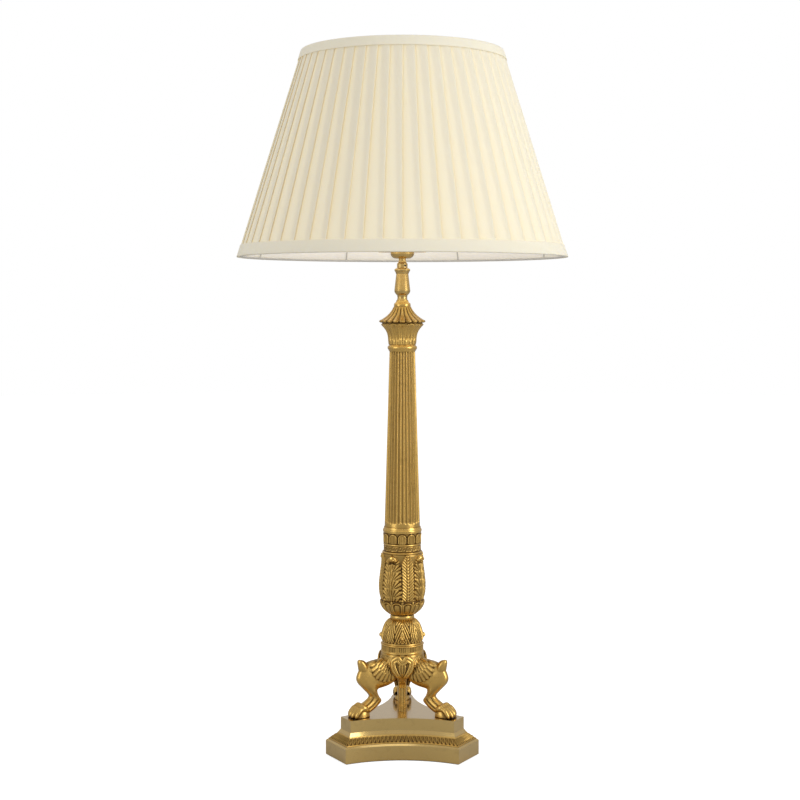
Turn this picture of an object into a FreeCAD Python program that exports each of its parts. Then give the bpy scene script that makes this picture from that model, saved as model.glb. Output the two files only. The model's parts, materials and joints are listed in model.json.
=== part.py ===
import FreeCAD, Part
import math
import os
import re

import Sketcher
from FreeCAD import Placement, Rotation, Vector

# Column table lamp: a fluted brass column on three animal legs and a three-sided plinth, under a pleated
# empire shade. The frame is +Z up, origin on the column's axis where the felt meets the table, front at -Y.
# Lengths are millimetres, angles degrees. Each piece is a solid of its own.

SIZES = {
    # general fits
    "touch_gap": (0.05, "gap between pieces that lie against each other"),
    "slip_gap": (0.3, "gap between pieces that move past each other"),
    "rod_radius": (5.0, "threaded tube that clamps the stack together"),
    "rod_bore_radius": (2.6, "wire way through the tube"),
    "rod_clearance": (0.3, "radial room for the tube in each piece"),
    # plinth: a triangle with concave sides and cut corners
    "felt_thickness": (1.4, "felt under the foot"),
    "felt_inset": (2.5, "felt edge inside the foot's edge"),
    "foot_reach": (106.0, "axis to each cut corner of the foot"),
    "side_apex": (57.5, "axis to the middle of each concave side of the foot"),
    "side_arc_centre": (208.8, "axis to the centre of each concave side's arc"),
    "foot_height": (22.1, "plain lower block"),
    "foot_edge_round": (2.4, "rounded top edge of the foot"),
    "band_height": (10.5, "sloping leaf band"),
    "band_foot_inset": (2.8, "band's lower edge inside the foot's edge"),
    "band_top_inset": (12.6, "band's upper edge inside the foot's edge"),
    "block_height": (21.4, "plain upper block"),
    "block_inset": (15.7, "upper block inside the foot's edge"),
    "block_flare": (3.0, "cavetto at the upper block's bottom"),
    "plinth_wall": (4.0, "wall of the hollow plinth castings"),
    "plinth_plate": (5.0, "top plate of the foot and of the upper block"),
    "ballast_thickness": (6.5, "iron plate in the foot"),
    "ballast_opening": (24.0, "radius of the hole in the iron plate"),
    # cord inlet at the back of the foot
    "inlet_height": (6.8, "cord inlet above the table"),
    "inlet_radius": (4.4, "hole in the foot's back wall"),
    "grommet_bore": (3.4, "hole for the cord in the grommet"),
    "grommet_flange": (6.2, "radius of the grommet's flange"),
    "grommet_flange_depth": (1.5, "thickness of the grommet's flange"),
    # fasteners
    "nut_flats": (17.0, "nut across its flats"),
    "nut_height": (5.0, "nut on the threaded tube"),
    "washer_radius": (12.0, "washer under the nut"),
    "washer_thickness": (2.0, "washer under the nut"),
    "rod_below_nut": (3.0, "tube that shows under the nut"),
    "leg_screw_radius": (2.5, "screw from the plinth into each paw"),
    "leg_screw_length": (12.0, "screw below its head"),
    "leg_screw_head": (4.5, "radius of the screw's head"),
    "leg_screw_head_height": (3.0, "height of the screw's head"),
    "leg_screw_reach": (69.0, "axis to each leg screw"),
    # legs
    "leg_height": (70.6, "plinth top to the hub's underside"),
    "leg_reach": (84.0, "axis to the toes"),
    "leg_width": (19.0, "leg across the knee"),
    "paw_length": (28.0, "heel to toes"),
    "paw_width": (23.0, "paw across the toes"),
    "paw_height": (17.5, "paw above the plinth"),
    "toe_radius": (3.5, "each of four toes"),
    "knee_roll_radius": (4.6, "volute on top of the knee"),
    "knee_roll_width": (13.0, "volute across the knee"),
    "post_radius": (6.0, "reeded post between the legs"),
    "post_reed_radius": (1.0, "groove between two reeds of the post"),
    "post_boss_radius": (15.0, "boss at the top of the post that the legs meet"),
    "post_boss_height": (27.0, "height of that boss"),
    # heart plaques between the legs
    "plaque_width": (34.0, "heart plaque across its lobes"),
    "plaque_drop": (47.0, "heart plaque from its top to its point"),
    "plaque_thickness": (3.0, "heart plaque, front to back"),
    # stack above the legs, each with its height
    "hub_height": (12.0, "flared hub that the legs hang from"),
    "hub_reach": (38.6, "hub at its lower edge"),
    "hub_neck": (31.2, "hub at its upper edge"),
    "reed_ring_height": (7.0, "reeded ring"),
    "reed_ring_radius": (30.6, "reeded ring"),
    "reed_depth": (0.8, "groove between two reeds"),
    "reed_count": (60, "reeds round the ring"),
    "knop_height": (36.5, "domed knop"),
    "knop_foot_radius": (29.6, "knop at its bottom edge"),
    "knop_curl_radius": (31.0, "knop where its leaf tips curl out"),
    "knop_shoulder_radius": (25.8, "knop at its shoulder"),
    "knop_top_radius": (22.6, "knop at its top"),
    "knop_collar_height": (5.8, "ring on the knop"),
    "knop_collar_radius": (21.6, "ring on the knop"),
    "vase_collar_height": (5.1, "ring under the vase"),
    "vase_collar_radius": (16.7, "ring under the vase"),
    "lotus_height": (22.6, "petalled cup under the vase"),
    "lotus_foot_radius": (17.2, "petalled cup at its bottom"),
    "lotus_rim_radius": (30.2, "petalled cup at its rim"),
    "petal_count": (12, "petals round the cup"),
    "petal_groove": (1.3, "groove between two petals"),
    "vase_height": (65.0, "vase"),
    "vase_belly_radius": (32.0, "vase at its widest"),
    "vase_neck_radius": (28.6, "vase under its rim"),
    "vase_rim_radius": (30.2, "vase at its leafy rim"),
    "vase_wall": (3.5, "wall of the vase, the knop and the cups"),
    "frieze_height": (14.5, "wave frieze with a ring above and below"),
    "frieze_ring_radius": (28.0, "ring under the wave frieze"),
    "frieze_radius": (26.3, "wave frieze"),
    "frieze_ring_height": (3.0, "ring under the wave frieze"),
    "arcade_height": (16.5, "band of small arches"),
    "arcade_radius": (26.9, "band of small arches"),
    "arch_count": (12, "arches round the band"),
    "arch_width": (9.4, "one arch"),
    "arch_depth": (1.1, "sunk ground of an arch"),
    "base_ring_height": (6.0, "ring under the fluted column"),
    "base_ring_radius": (27.0, "ring under the fluted column"),
    "column_height": (244.5, "fluted column"),
    "column_foot_radius": (24.8, "fluted column at its bottom"),
    "column_top_radius": (17.8, "fluted column at its top"),
    "column_wall": (4.5, "wall of the fluted column"),
    "flute_count": (28, "flutes round the column"),
    "flute_share": (0.82, "flute's width as a share of its pitch"),
    "flute_margin_foot": (5.0, "plain band under the flutes"),
    "flute_margin_top": (3.0, "plain band over the flutes"),
    "column_ring_height": (9.5, "ring on the column"),
    "column_ring_radius": (20.4, "ring on the column"),
    "bell_height": (30.2, "bell of the capital"),
    "bell_neck_radius": (18.0, "bell at its bottom"),
    "bell_rim_radius": (29.4, "bell at its rim"),
    "bell_leaf_count": (12, "leaves round the bell"),
    "bell_leaf_groove": (1.2, "groove between two leaves of the bell"),
    "canopy_height": (22.3, "scalloped canopy over the capital"),
    "canopy_radius": (31.6, "canopy at its rim"),
    "canopy_edge": (4.2, "height of the canopy's rim"),
    "canopy_neck_radius": (11.8, "canopy at its top"),
    "lobe_count": (20, "lobes round the canopy"),
    "lobe_notch": (1.5, "notch between two lobes"),
    "neck_ring_height": (9.0, "ring on the canopy"),
    "neck_ring_radius": (11.4, "ring on the canopy"),
    "neck_waist_radius": (6.8, "waist over that ring"),
    "neck_height": (36.5, "baluster neck"),
    "neck_belly_radius": (11.1, "baluster neck at its widest"),
    "neck_top_radius": (8.4, "baluster neck at its top"),
    "neck_collar_height": (8.0, "collar on the neck"),
    "neck_collar_radius": (10.9, "collar on the neck"),
    "knuckle_height": (9.5, "coupling with its set screw"),
    "knuckle_radius": (7.4, "coupling"),
    "set_screw_radius": (1.5, "set screw in the coupling"),
    "dish_gap": (3.5, "bare tube between the coupling and the dish"),
    "dish_height": (8.5, "dish under the lampholder"),
    "dish_radius": (16.4, "dish at its rim"),
    "dish_seat_radius": (10.5, "dish at its bottom"),
    # harp saddle and harp
    "saddle_thickness": (1.6, "harp saddle strip"),
    "saddle_width": (14.0, "harp saddle, front to back"),
    "saddle_reach": (28.0, "axis to each leg of the harp at the saddle"),
    "ear_height": (13.0, "upright ear of the saddle"),
    "harp_wire_radius": (2.0, "wire of the harp"),
    "harp_reach": (57.0, "harp at its widest, from the axis"),
    "harp_height": (253.7, "saddle to the seat on top of the harp"),
    "harp_bend_height": (58.0, "height over which the harp widens"),
    "sleeve_radius": (4.2, "sleeve that locks the harp's leg"),
    "sleeve_height": (14.0, "sleeve that locks the harp's leg"),
    "stud_radius": (3.1, "threaded stud on the harp"),
    "stud_height": (15.0, "threaded stud on the harp"),
    "stud_seat_radius": (8.0, "round seat under the spider"),
    "stud_seat_thickness": (2.4, "round seat under the spider"),
    "finial_height": (33.0, "finial"),
    "finial_radius": (9.0, "finial at its widest"),
    # lampholder and bulb
    "cap_height": (22.0, "lampholder cap"),
    "cap_radius": (17.6, "lampholder cap"),
    "holder_wall": (0.8, "wall of the lampholder's cap and shell"),
    "shell_height": (44.0, "lampholder shell"),
    "liner_wall": (0.9, "insulating liner"),
    "interior_height": (15.0, "moulded body in the lampholder"),
    "screw_shell_radius": (14.2, "screw shell outside"),
    "screw_shell_wall": (0.5, "wall of the screw shell"),
    "screw_shell_height": (24.0, "screw shell"),
    "bulb_cap_radius": (13.1, "screw cap of the bulb"),
    "bulb_cap_height": (25.0, "screw cap of the bulb"),
    "bulb_radius": (30.0, "bulb at its widest"),
    "bulb_height": (82.0, "glass above the cap"),
    "bulb_neck_radius": (13.6, "glass at the cap"),
    "key_stem_radius": (2.2, "stem of the switch key"),
    "key_reach": (34.0, "axis to the outer end of the switch key"),
    "key_length": (13.0, "grip of the switch key"),
    "key_radius": (5.5, "grip of the switch key"),
    # shade
    "shade_bottom_radius": (228.6, "shade at its lower edge, half of 18 inches"),
    "shade_top_radius": (139.7, "shade at its upper edge, half of 11 inches"),
    "shade_height": (281.0, "shade"),
    "pleat_count": (56, "pleats round the shade"),
    "pleat_depth": (1.8, "a pleat's fold"),
    "cover_thickness": (0.8, "pleated cover under its folds"),
    "lining_thickness": (0.8, "lining"),
    "trim_thickness": (1.1, "plain bands at the shade's edges"),
    "top_trim_height": (13.0, "upper band"),
    "bottom_trim_height": (16.5, "lower band"),
    "frame_wire_radius": (1.5, "rings and ribs of the shade's frame"),
    "rib_count": (8, "ribs of the shade's frame"),
    "spider_drop": (20.0, "spider's hub below the shade's upper edge"),
    "spider_hub_radius": (9.5, "spider's hub"),
    "spider_hub_thickness": (2.0, "spider's hub"),
    "spider_arm_count": (3, "arms of the spider"),
}

LEG_AZIMUTHS = (90, 210, 330)
LEG_NAMES = ("leg_back", "leg_left", "leg_right")
PLAQUE_AZIMUTHS = (270, 30, 150)
PLAQUE_NAMES = ("plaque_front", "plaque_right", "plaque_left")

doc = FreeCAD.newDocument("column_table_lamp")
sheet = doc.addObject("Spreadsheet::Sheet", "Sizes")
for row, (alias, (number, meaning)) in enumerate(SIZES.items(), start=1):
    sheet.set(f"A{row}", alias)
    sheet.set(f"B{row}", str(number))
    sheet.set(f"C{row}", meaning)
    sheet.setAlias(f"B{row}", alias)
doc.recompute()

PIECES = []
WORD = re.compile(r"[a-z_]{3,}")
FUNCTIONS = ("sin", "cos", "tan", "atan", "sqrt")


def tied(formula):
    """A formula on the sheet's names, as an expression that an object can hold."""
    return WORD.sub(lambda m: m[0] if m[0] in FUNCTIONS else f"Sizes.{m[0]}", str(formula))


def value(formula):
    """The number that a formula gives now."""
    number = sheet.evalExpression(tied(formula))
    return float(number.Value if hasattr(number, "Value") else number)


def bind(thing, field, formula):
    thing.setExpression(field, tied(formula))


def total(*names):
    return " + ".join(names)


# Heights above the table of each seat in the stack.
FOOT_SEAT = "felt_thickness"
BAND_SEAT = total(FOOT_SEAT, "foot_height")
BLOCK_SEAT = total(BAND_SEAT, "band_height")
PLINTH_TOP = total(BLOCK_SEAT, "block_height")
STACK = [
    ("hub", "hub_height"),
    ("reed_ring", "reed_ring_height"),
    ("knop", "knop_height"),
    ("knop_collar", "knop_collar_height"),
    ("vase_collar", "vase_collar_height"),
    ("lotus", "lotus_height"),
    ("vase", "vase_height"),
    ("frieze", "frieze_height"),
    ("arcade", "arcade_height"),
    ("base_ring", "base_ring_height"),
    ("column", "column_height"),
    ("column_ring", "column_ring_height"),
    ("bell", "bell_height"),
    ("canopy", "canopy_height"),
    ("neck_ring", "neck_ring_height"),
    ("neck", "neck_height"),
    ("neck_collar", "neck_collar_height"),
    ("knuckle", "knuckle_height"),
    ("dish_neck", "dish_gap"),
    ("dish", "dish_height"),
    ("saddle", "saddle_thickness"),
    ("cap", "cap_height"),
    ("shell", "shell_height"),
]
SEAT = {}
level = total(PLINTH_TOP, "leg_height")
for stage, rise in STACK:
    SEAT[stage] = level
    level = total(level, rise)
SPIDER_SEAT = total(SEAT["saddle"], "harp_height", "slip_gap")
SHADE_FOOT = f"{SPIDER_SEAT} + spider_drop - shade_height"
BORE = "rod_radius + rod_clearance"


# ---------------------------------------------------------------- helpers

def keep(thing, label, height=None, turn=0.0):
    """Names a finished piece and puts it at its height and azimuth."""
    thing.Label = label
    thing.Placement = Placement(Vector(0, 0, 0), Rotation(Vector(0, 0, 1), turn))
    if height is not None:
        bind(thing, "Placement.Base.z", height)
    PIECES.append(thing)
    return thing


def plane(body, role):
    return [p for p in body.Origin.OriginFeatures if p.Role == role][0]


def new_sketch(body, role, name, offset=None):
    sketch = body.newObject("Sketcher::SketchObject", name)
    sketch.AttachmentSupport = [(plane(body, role), "")]
    sketch.MapMode = "FlatFace"
    if offset is not None:
        bind(sketch, "AttachmentOffset.Base.z", offset)
    return sketch


def pin_point(sketch, geometry, end, across, up):
    """Holds one point of a sketch at two formulas."""
    for kind, formula in (("DistanceX", across), ("DistanceY", up)):
        number = value(formula)
        index = sketch.addConstraint(Sketcher.Constraint(kind, -1, 1, geometry, end, number))
        bind(sketch, f"Constraints[{index}]", formula)


def draw_outline(sketch, outline):
    """Closed outline of straight and round edges. Each entry is the point an edge runs to, as two
    formulas, and a round edge has two more for the point that it passes through."""
    points = [Vector(value(entry[0]), value(entry[1]), 0) for entry in outline]
    for number, entry in enumerate(outline):
        start, end = points[number - 1], points[number]
        if len(entry) == 4:
            middle = Vector(value(entry[2]), value(entry[3]), 0)
            edge = sketch.addGeometry(Part.Arc(start, middle, end), False)
            ends = (1, 2)
            to_start = [sketch.getPoint(edge, end_point).distanceToPoint(start) for end_point in (1, 2)]
            if to_start[0] > to_start[1]:
                ends = (2, 1)
            mark = sketch.addGeometry(Part.Point(middle), True)
            sketch.addConstraint(Sketcher.Constraint("PointOnObject", mark, 1, edge))
            pin_point(sketch, mark, 1, entry[2], entry[3])
        else:
            edge = sketch.addGeometry(Part.LineSegment(start, end), False)
            ends = (1, 2)
        before = outline[number - 1]
        pin_point(sketch, edge, ends[0], before[0], before[1])
        pin_point(sketch, edge, ends[1], entry[0], entry[1])


def spin(body, outline, name="Outline"):
    """Turns an outline of radius and height about the body's own axis."""
    sketch = new_sketch(body, "XZ_Plane", name)
    draw_outline(sketch, outline)
    turned = body.newObject("PartDesign::Revolution", "Turned")
    turned.Profile = sketch
    turned.ReferenceAxis = (sketch, ["V_Axis"])
    turned.Angle = 360
    doc.recompute()
    return turned


def turned_piece(label, outline, height=None):
    body = doc.addObject("PartDesign::Body", label)
    spin(body, outline)
    return keep(body, label, height)


def repeat_round(body, feature, count):
    """Repeats a feature round the body's axis."""
    ring = body.newObject("PartDesign::PolarPattern", "Round")
    ring.Originals = [feature]
    ring.Axis = (plane(body, "Z_Axis"), [""])
    ring.Angle = 360
    bind(ring, "Occurrences", count)
    body.Tip = ring
    doc.recompute()
    return ring


def groove_round(body, count, low, high, width_low, width_high=None):
    """Cuts straight round-bottomed grooves into a turned body: each runs from one point, as two
    formulas for radius and height, to another, as a loft between two circles."""
    before = body.Shape.Volume
    circles = []
    for name, (reach, rise), width in (("Low", low, width_low), ("High", high, width_high or width_low)):
        sketch = new_sketch(body, "XY_Plane", f"Groove{name}", rise)
        middle = Vector(value(reach), 0, 0)
        circle = sketch.addGeometry(Part.Circle(middle, Vector(0, 0, 1), value(width)), False)
        index = sketch.addConstraint(Sketcher.Constraint("Radius", circle, value(width)))
        bind(sketch, f"Constraints[{index}]", width)
        pin_point(sketch, circle, 3, reach, "0")
        circles.append(sketch)
    groove = body.newObject("PartDesign::SubtractiveLoft", "Groove")
    groove.Profile = circles[0]
    groove.Sections = [circles[1]]
    groove.Ruled = True
    doc.recompute()
    if body.Shape.Volume >= before:
        raise RuntimeError(f"{body.Label}: the groove cut nothing")
    repeat_round(body, groove, count)


def loose(label, shape, height=0.0, turn=0.0):
    """A sculpted piece whose shape is worked out here from the sheet's sizes."""
    piece = doc.addObject("Part::Feature", label)
    piece.Shape = shape
    piece.Label = label
    piece.Placement = Placement(Vector(0, 0, height), Rotation(Vector(0, 0, 1), turn))
    PIECES.append(piece)
    return piece


# ---------------------------------------------------------------- plinth

def draw_plinth(sketch, inset):
    """Triangle with three cut corners and three concave sides, drawn smaller by an inset."""
    reach = f"foot_reach - ({inset})"
    hollow = f"side_arc_centre - side_apex + ({inset})"
    reach_now, hollow_now, centre_now = value(reach), value(hollow), value("side_arc_centre")
    # where the front arc meets the right front facet, 30 degrees below +X
    facet = Vector(math.cos(math.radians(-30)), math.sin(math.radians(-30)), 0)
    along = Vector(-facet.y, facet.x, 0)
    gap = facet * reach_now + Vector(0, centre_now, 0)
    middle = gap.dot(along)
    half = middle - math.sqrt(middle**2 - gap.dot(gap) + hollow_now**2)
    lines = []
    arcs = []
    for azimuth in (330, 90, 210):
        out = Vector(math.cos(math.radians(azimuth)), math.sin(math.radians(azimuth)), 0)
        side = Vector(-out.y, out.x, 0)
        start = out * reach_now - side * half
        end = out * reach_now + side * half
        lines.append(sketch.addGeometry(Part.LineSegment(start, end), False))
    for azimuth in (30, 150, 270):
        out = Vector(math.cos(math.radians(azimuth)), math.sin(math.radians(azimuth)), 0)
        before = Rotation(Vector(0, 0, 1), -60).multVec(out)
        after = Rotation(Vector(0, 0, 1), 60).multVec(out)
        start = before * reach_now + Vector(-before.y, before.x, 0) * half
        end = after * reach_now - Vector(-after.y, after.x, 0) * half
        middle_point = out * (centre_now - hollow_now)
        arcs.append(sketch.addGeometry(Part.Arc(start, middle_point, end), False))
    # right front facet, then the arc towards the back, and so on round
    for number, azimuth in enumerate((330, 90, 210)):
        line, arc, following = lines[number], arcs[number], lines[(number + 1) % 3]
        flipped = sketch.getPoint(arc, 1).distanceToPoint(sketch.getPoint(line, 2)) > 0.01
        first, last = (2, 1) if flipped else (1, 2)
        sketch.addConstraint(Sketcher.Constraint("Coincident", line, 2, arc, first))
        sketch.addConstraint(Sketcher.Constraint("Coincident", arc, last, following, 1))
        index = sketch.addConstraint(Sketcher.Constraint("Distance", -1, 1, line, reach_now))
        bind(sketch, f"Constraints[{index}]", reach)
        if azimuth == 90:
            sketch.addConstraint(Sketcher.Constraint("Horizontal", line))
        else:
            lean = math.radians(azimuth + 90)
            sketch.addConstraint(Sketcher.Constraint("Angle", line, lean))
        middle_azimuth = math.radians(azimuth + 60)
        across = f"side_arc_centre * {math.cos(middle_azimuth):.9f}"
        up = f"side_arc_centre * {math.sin(middle_azimuth):.9f}"
        if azimuth + 60 == 270:
            across = "0"
        pin_point(sketch, arc, 3, across, up)
        index = sketch.addConstraint(Sketcher.Constraint("Radius", arc, hollow_now))
        bind(sketch, f"Constraints[{index}]", hollow)


def pad_plinth(body, inset, rise, name="Pad", start=None):
    sketch = new_sketch(body, "XY_Plane", f"{name}Outline", start)
    draw_plinth(sketch, inset)
    pad = body.newObject("PartDesign::Pad", name)
    pad.Profile = sketch
    bind(pad, "Length", rise)
    doc.recompute()
    return pad


def loft_plinth(body, low_inset, high_inset, low, high, name):
    """Adds the slope between two plinth outlines."""
    foot = new_sketch(body, "XY_Plane", f"{name}Low", low)
    draw_plinth(foot, low_inset)
    head = new_sketch(body, "XY_Plane", f"{name}High", high)
    draw_plinth(head, high_inset)
    slope = body.newObject("PartDesign::AdditiveLoft", name)
    slope.Profile = foot
    slope.Sections = [head]
    slope.Ruled = True
    doc.recompute()
    return slope


def hollow_plinth(body, inset, depth, name="Hollow"):
    """Empties a plinth casting from below, up to a depth."""
    before = body.Shape.Volume
    sketch = new_sketch(body, "XY_Plane", f"{name}Outline")
    draw_plinth(sketch, inset)
    pocket = body.newObject("PartDesign::Pocket", name)
    pocket.Profile = sketch
    pocket.Reversed = True
    bind(pocket, "Length", depth)
    doc.recompute()
    if body.Shape.Volume >= before:
        raise RuntimeError(f"{body.Label}: the hollow cut nothing")
    return pocket


def drill(body, radius, depth, name="Bore", reach="0", azimuths=(0,), start=None):
    """Upright holes of one radius, from the body's own floor or from a start height."""
    before = body.Shape.Volume
    sketch = new_sketch(body, "XY_Plane", f"{name}Circles", start)
    for azimuth in azimuths:
        turn = math.radians(azimuth)
        across = f"({reach}) * {math.cos(turn):.9f}"
        up = f"({reach}) * {math.sin(turn):.9f}"
        centre = Vector(value(across), value(up), 0)
        circle = sketch.addGeometry(Part.Circle(centre, Vector(0, 0, 1), value(radius)), False)
        index = sketch.addConstraint(Sketcher.Constraint("Radius", circle, value(radius)))
        bind(sketch, f"Constraints[{index}]", radius)
        pin_point(sketch, circle, 3, across, up)
    pocket = body.newObject("PartDesign::Pocket", name)
    pocket.Profile = sketch
    pocket.Reversed = True
    bind(pocket, "Length", depth)
    doc.recompute()
    if body.Shape.Volume >= before:
        raise RuntimeError(f"{body.Label}: the bore cut nothing")
    return pocket


def make_felt():
    felt = doc.addObject("PartDesign::Body", "base_felt")
    pad_plinth(felt, "felt_inset", "felt_thickness")
    keep(felt, "base_felt")


def make_foot():
    foot = doc.addObject("PartDesign::Body", "plinth_foot")
    pad_plinth(foot, "0", "foot_height - foot_edge_round")
    loft_plinth(foot, "0", "foot_edge_round", "foot_height - foot_edge_round", "foot_height", "Edge")
    hollow_plinth(foot, "plinth_wall", "foot_height - plinth_plate")
    drill(foot, BORE, "foot_height")
    before = foot.Shape.Volume
    wall = new_sketch(foot, "XZ_Plane", "InletCircle")
    middle = Vector(0, value("inlet_height"), 0)
    circle = wall.addGeometry(Part.Circle(middle, Vector(0, 0, 1), value("inlet_radius")))
    index = wall.addConstraint(Sketcher.Constraint("Radius", circle, value("inlet_radius")))
    bind(wall, f"Constraints[{index}]", "inlet_radius")
    pin_point(wall, circle, 3, "0", "inlet_height - felt_thickness")
    inlet = foot.newObject("PartDesign::Pocket", "Inlet")
    inlet.Profile = wall
    bind(inlet, "Length", "foot_reach + 1")
    doc.recompute()
    back_wall = before - foot.Shape.Volume
    if back_wall <= 0 or foot.Shape.BoundBox.YMin < -value("foot_reach"):
        raise RuntimeError("plinth_foot: the inlet cut nothing")
    keep(foot, "plinth_foot", FOOT_SEAT)


def make_band():
    band = doc.addObject("PartDesign::Body", "plinth_band")
    loft_plinth(band, "band_foot_inset", "band_top_inset", "0", "band_height", "Slope")
    hollow_plinth(band, "band_top_inset + plinth_wall", "band_height")
    keep(band, "plinth_band", BAND_SEAT)


def make_block():
    block = doc.addObject("PartDesign::Body", "plinth_block")
    pad_plinth(block, "block_inset", "block_height")
    flare = "block_inset - block_flare"
    loft_plinth(block, flare, "block_inset", "0", "block_flare * 1.6", "Flare")
    hollow_plinth(block, "block_inset + plinth_wall", "block_height - plinth_plate")
    drill(block, BORE, "block_height")
    hole = "leg_screw_radius + rod_clearance"
    drill(block, hole, "block_height", "ScrewHoles", "leg_screw_reach", LEG_AZIMUTHS)
    keep(block, "plinth_block", BLOCK_SEAT)


def make_ballast():
    ballast = doc.addObject("PartDesign::Body", "ballast_plate")
    pad_plinth(ballast, "plinth_wall + slip_gap", "ballast_thickness")
    drill(ballast, "ballast_opening", "ballast_thickness")
    keep(ballast, "ballast_plate", f"{BAND_SEAT} - plinth_plate - ballast_thickness")


def make_grommet():
    """Rubber bush in the foot's back wall, with a bore for a cord."""
    depth = "plinth_wall + grommet_flange_depth"
    body = turned_piece("cord_grommet", [
        ("grommet_bore", f"-({depth})"),
        ("inlet_radius - touch_gap", f"-({depth})"),
        ("inlet_radius - touch_gap", "0"),
        ("grommet_flange", "0"),
        ("grommet_flange", "grommet_flange_depth * 0.5"),
        ("grommet_flange - 0.8", "grommet_flange_depth"),
        ("grommet_bore", "grommet_flange_depth"),
    ])
    body.Placement = Placement(Vector(0, 0, 0), Rotation(Vector(1, 0, 0), -90))
    bind(body, "Placement.Base.y", "foot_reach")
    bind(body, "Placement.Base.z", "inlet_height")


# ---------------------------------------------------------------- rod and fasteners

ROD_FOOT = f"{BAND_SEAT} - plinth_plate - washer_thickness - nut_height - rod_below_nut"
ROD_TOP = f"{SEAT['cap']} + holder_wall + 6"


def make_rod():
    tall = f"({ROD_TOP}) - ({ROD_FOOT})"
    turned_piece("threaded_rod", [
        ("rod_bore_radius", "0"),
        ("rod_radius - 0.6", "0"),
        ("rod_radius", "0.6"),
        ("rod_radius", f"{tall} - 0.6"),
        ("rod_radius - 0.6", tall),
        ("rod_bore_radius", tall),
    ], ROD_FOOT)


def hex_nut(label, flats, bore, thickness, height):
    nut = doc.addObject("PartDesign::Body", label)
    sketch = new_sketch(nut, "XY_Plane", "Hexagon")
    corner = f"({flats}) / {math.sqrt(3):.9f}"
    points = []
    for number in range(6):
        turn = math.radians(60 * number)
        points.append((f"{corner} * {math.cos(turn):.9f}", f"{corner} * {math.sin(turn):.9f}"))
    draw_outline(sketch, points)
    pad = nut.newObject("PartDesign::Pad", "Pad")
    pad.Profile = sketch
    bind(pad, "Length", thickness)
    doc.recompute()
    drill(nut, bore, thickness)
    keep(nut, label, height)


def make_fasteners():
    washer_seat = f"{BAND_SEAT} - plinth_plate - washer_thickness"
    turned_piece("rod_washer", [
        (BORE, "0"),
        ("washer_radius", "0"),
        ("washer_radius", "washer_thickness"),
        (BORE, "washer_thickness"),
    ], washer_seat)
    hex_nut("rod_nut", "nut_flats", "rod_radius + touch_gap", "nut_height", f"{washer_seat} - nut_height")
    screws = []
    underside = value(f"{PLINTH_TOP} - plinth_plate")
    for azimuth in LEG_AZIMUTHS:
        out = Vector(math.cos(math.radians(azimuth)), math.sin(math.radians(azimuth)), 0)
        foot = out * value("leg_screw_reach") + Vector(0, 0, underside)
        shank = Part.makeCylinder(value("leg_screw_radius"), value("leg_screw_length"), foot)
        low = foot - Vector(0, 0, value("leg_screw_head_height"))
        head = Part.makeCylinder(value("leg_screw_head"), value("leg_screw_head_height"), low)
        screws.append(shank.fuse(head).removeSplitter())
    loose("leg_screws", Part.makeCompound(screws))


# ---------------------------------------------------------------- legs, post and plaques

# Sections of a leg from the boss to the ankle, each a flattened oval between an inner and an outer point.
# The points are shares of the leg's reach and of its height, and the last share is of the leg's width.
LEG_SECTIONS = [
    (0.19, 0.60, 0.19, 0.985, 0.74),
    (0.33, 0.545, 0.36, 0.985, 0.90),
    (0.455, 0.52, 0.62, 0.985, 1.00),
    (0.487, 0.50, 0.80, 0.93, 1.00),
    (0.490, 0.47, 0.862, 0.80, 0.98),
    (0.480, 0.42, 0.845, 0.68, 0.92),
    (0.455, 0.36, 0.745, 0.545, 0.84),
    (0.425, 0.30, 0.635, 0.405, 0.76),
    (0.435, 0.235, 0.650, 0.350, 0.74),
    (0.525, 0.140, 0.725, 0.285, 0.80),
    (0.640, 0.060, 0.800, 0.235, 0.86),
]
LEG_STEPS = 20


def closed_oval(middle, reach, side):
    """Closed oval wire in two halves, from its centre and its two half axes."""
    ring = []
    for number in range(9):
        turn = math.pi * number / 4
        ring.append(middle + reach * math.cos(turn) + side * math.sin(turn))
    halves = []
    for first in (0, 4):
        curve = Part.BSplineCurve()
        curve.interpolate(ring[first:first + 5])
        halves.append(curve.toShape())
    return Part.Wire(halves)


def between(rows, share):
    """Row of numbers at a share of the way along a list of rows, on a smooth curve through them."""
    place = share * (len(rows) - 1)
    first = min(int(place), len(rows) - 2)
    part = place - first
    before, start = rows[max(first - 1, 0)], rows[first]
    end, after = rows[first + 1], rows[min(first + 2, len(rows) - 1)]
    result = []
    for p, q, r, s in zip(before, start, end, after):
        bend = (2 * p - 5 * q + 4 * r - s) * part**2 + (3 * q - p - 3 * r + s) * part**3
        result.append(q + 0.5 * ((r - p) * part + bend))
    return result


# Upright sections of the paw from heel to toes: share of its length, height and width as shares.
PAW_SECTIONS = [
    (0.0, 0.50, 0.52),
    (0.25, 0.86, 0.78),
    (0.50, 1.0, 0.90),
    (0.72, 0.80, 0.86),
    (0.90, 0.42, 0.76),
]


def paw_shape(reach):
    """Pad of the paw, lying on the plinth, without its toes."""
    length, across, rise = value("paw_length"), value("paw_width"), value("paw_height")
    sections = []
    for step in range(9):
        share, tall, wide = between(PAW_SECTIONS, step / 8)
        middle = Vector(reach - length * (1 - share), 0, 0)
        sections.append(closed_oval(middle, Vector(0, 0, rise * tall), Vector(0, across / 2 * wide, 0)))
    return Part.makeLoft(sections, True, True)


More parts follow.
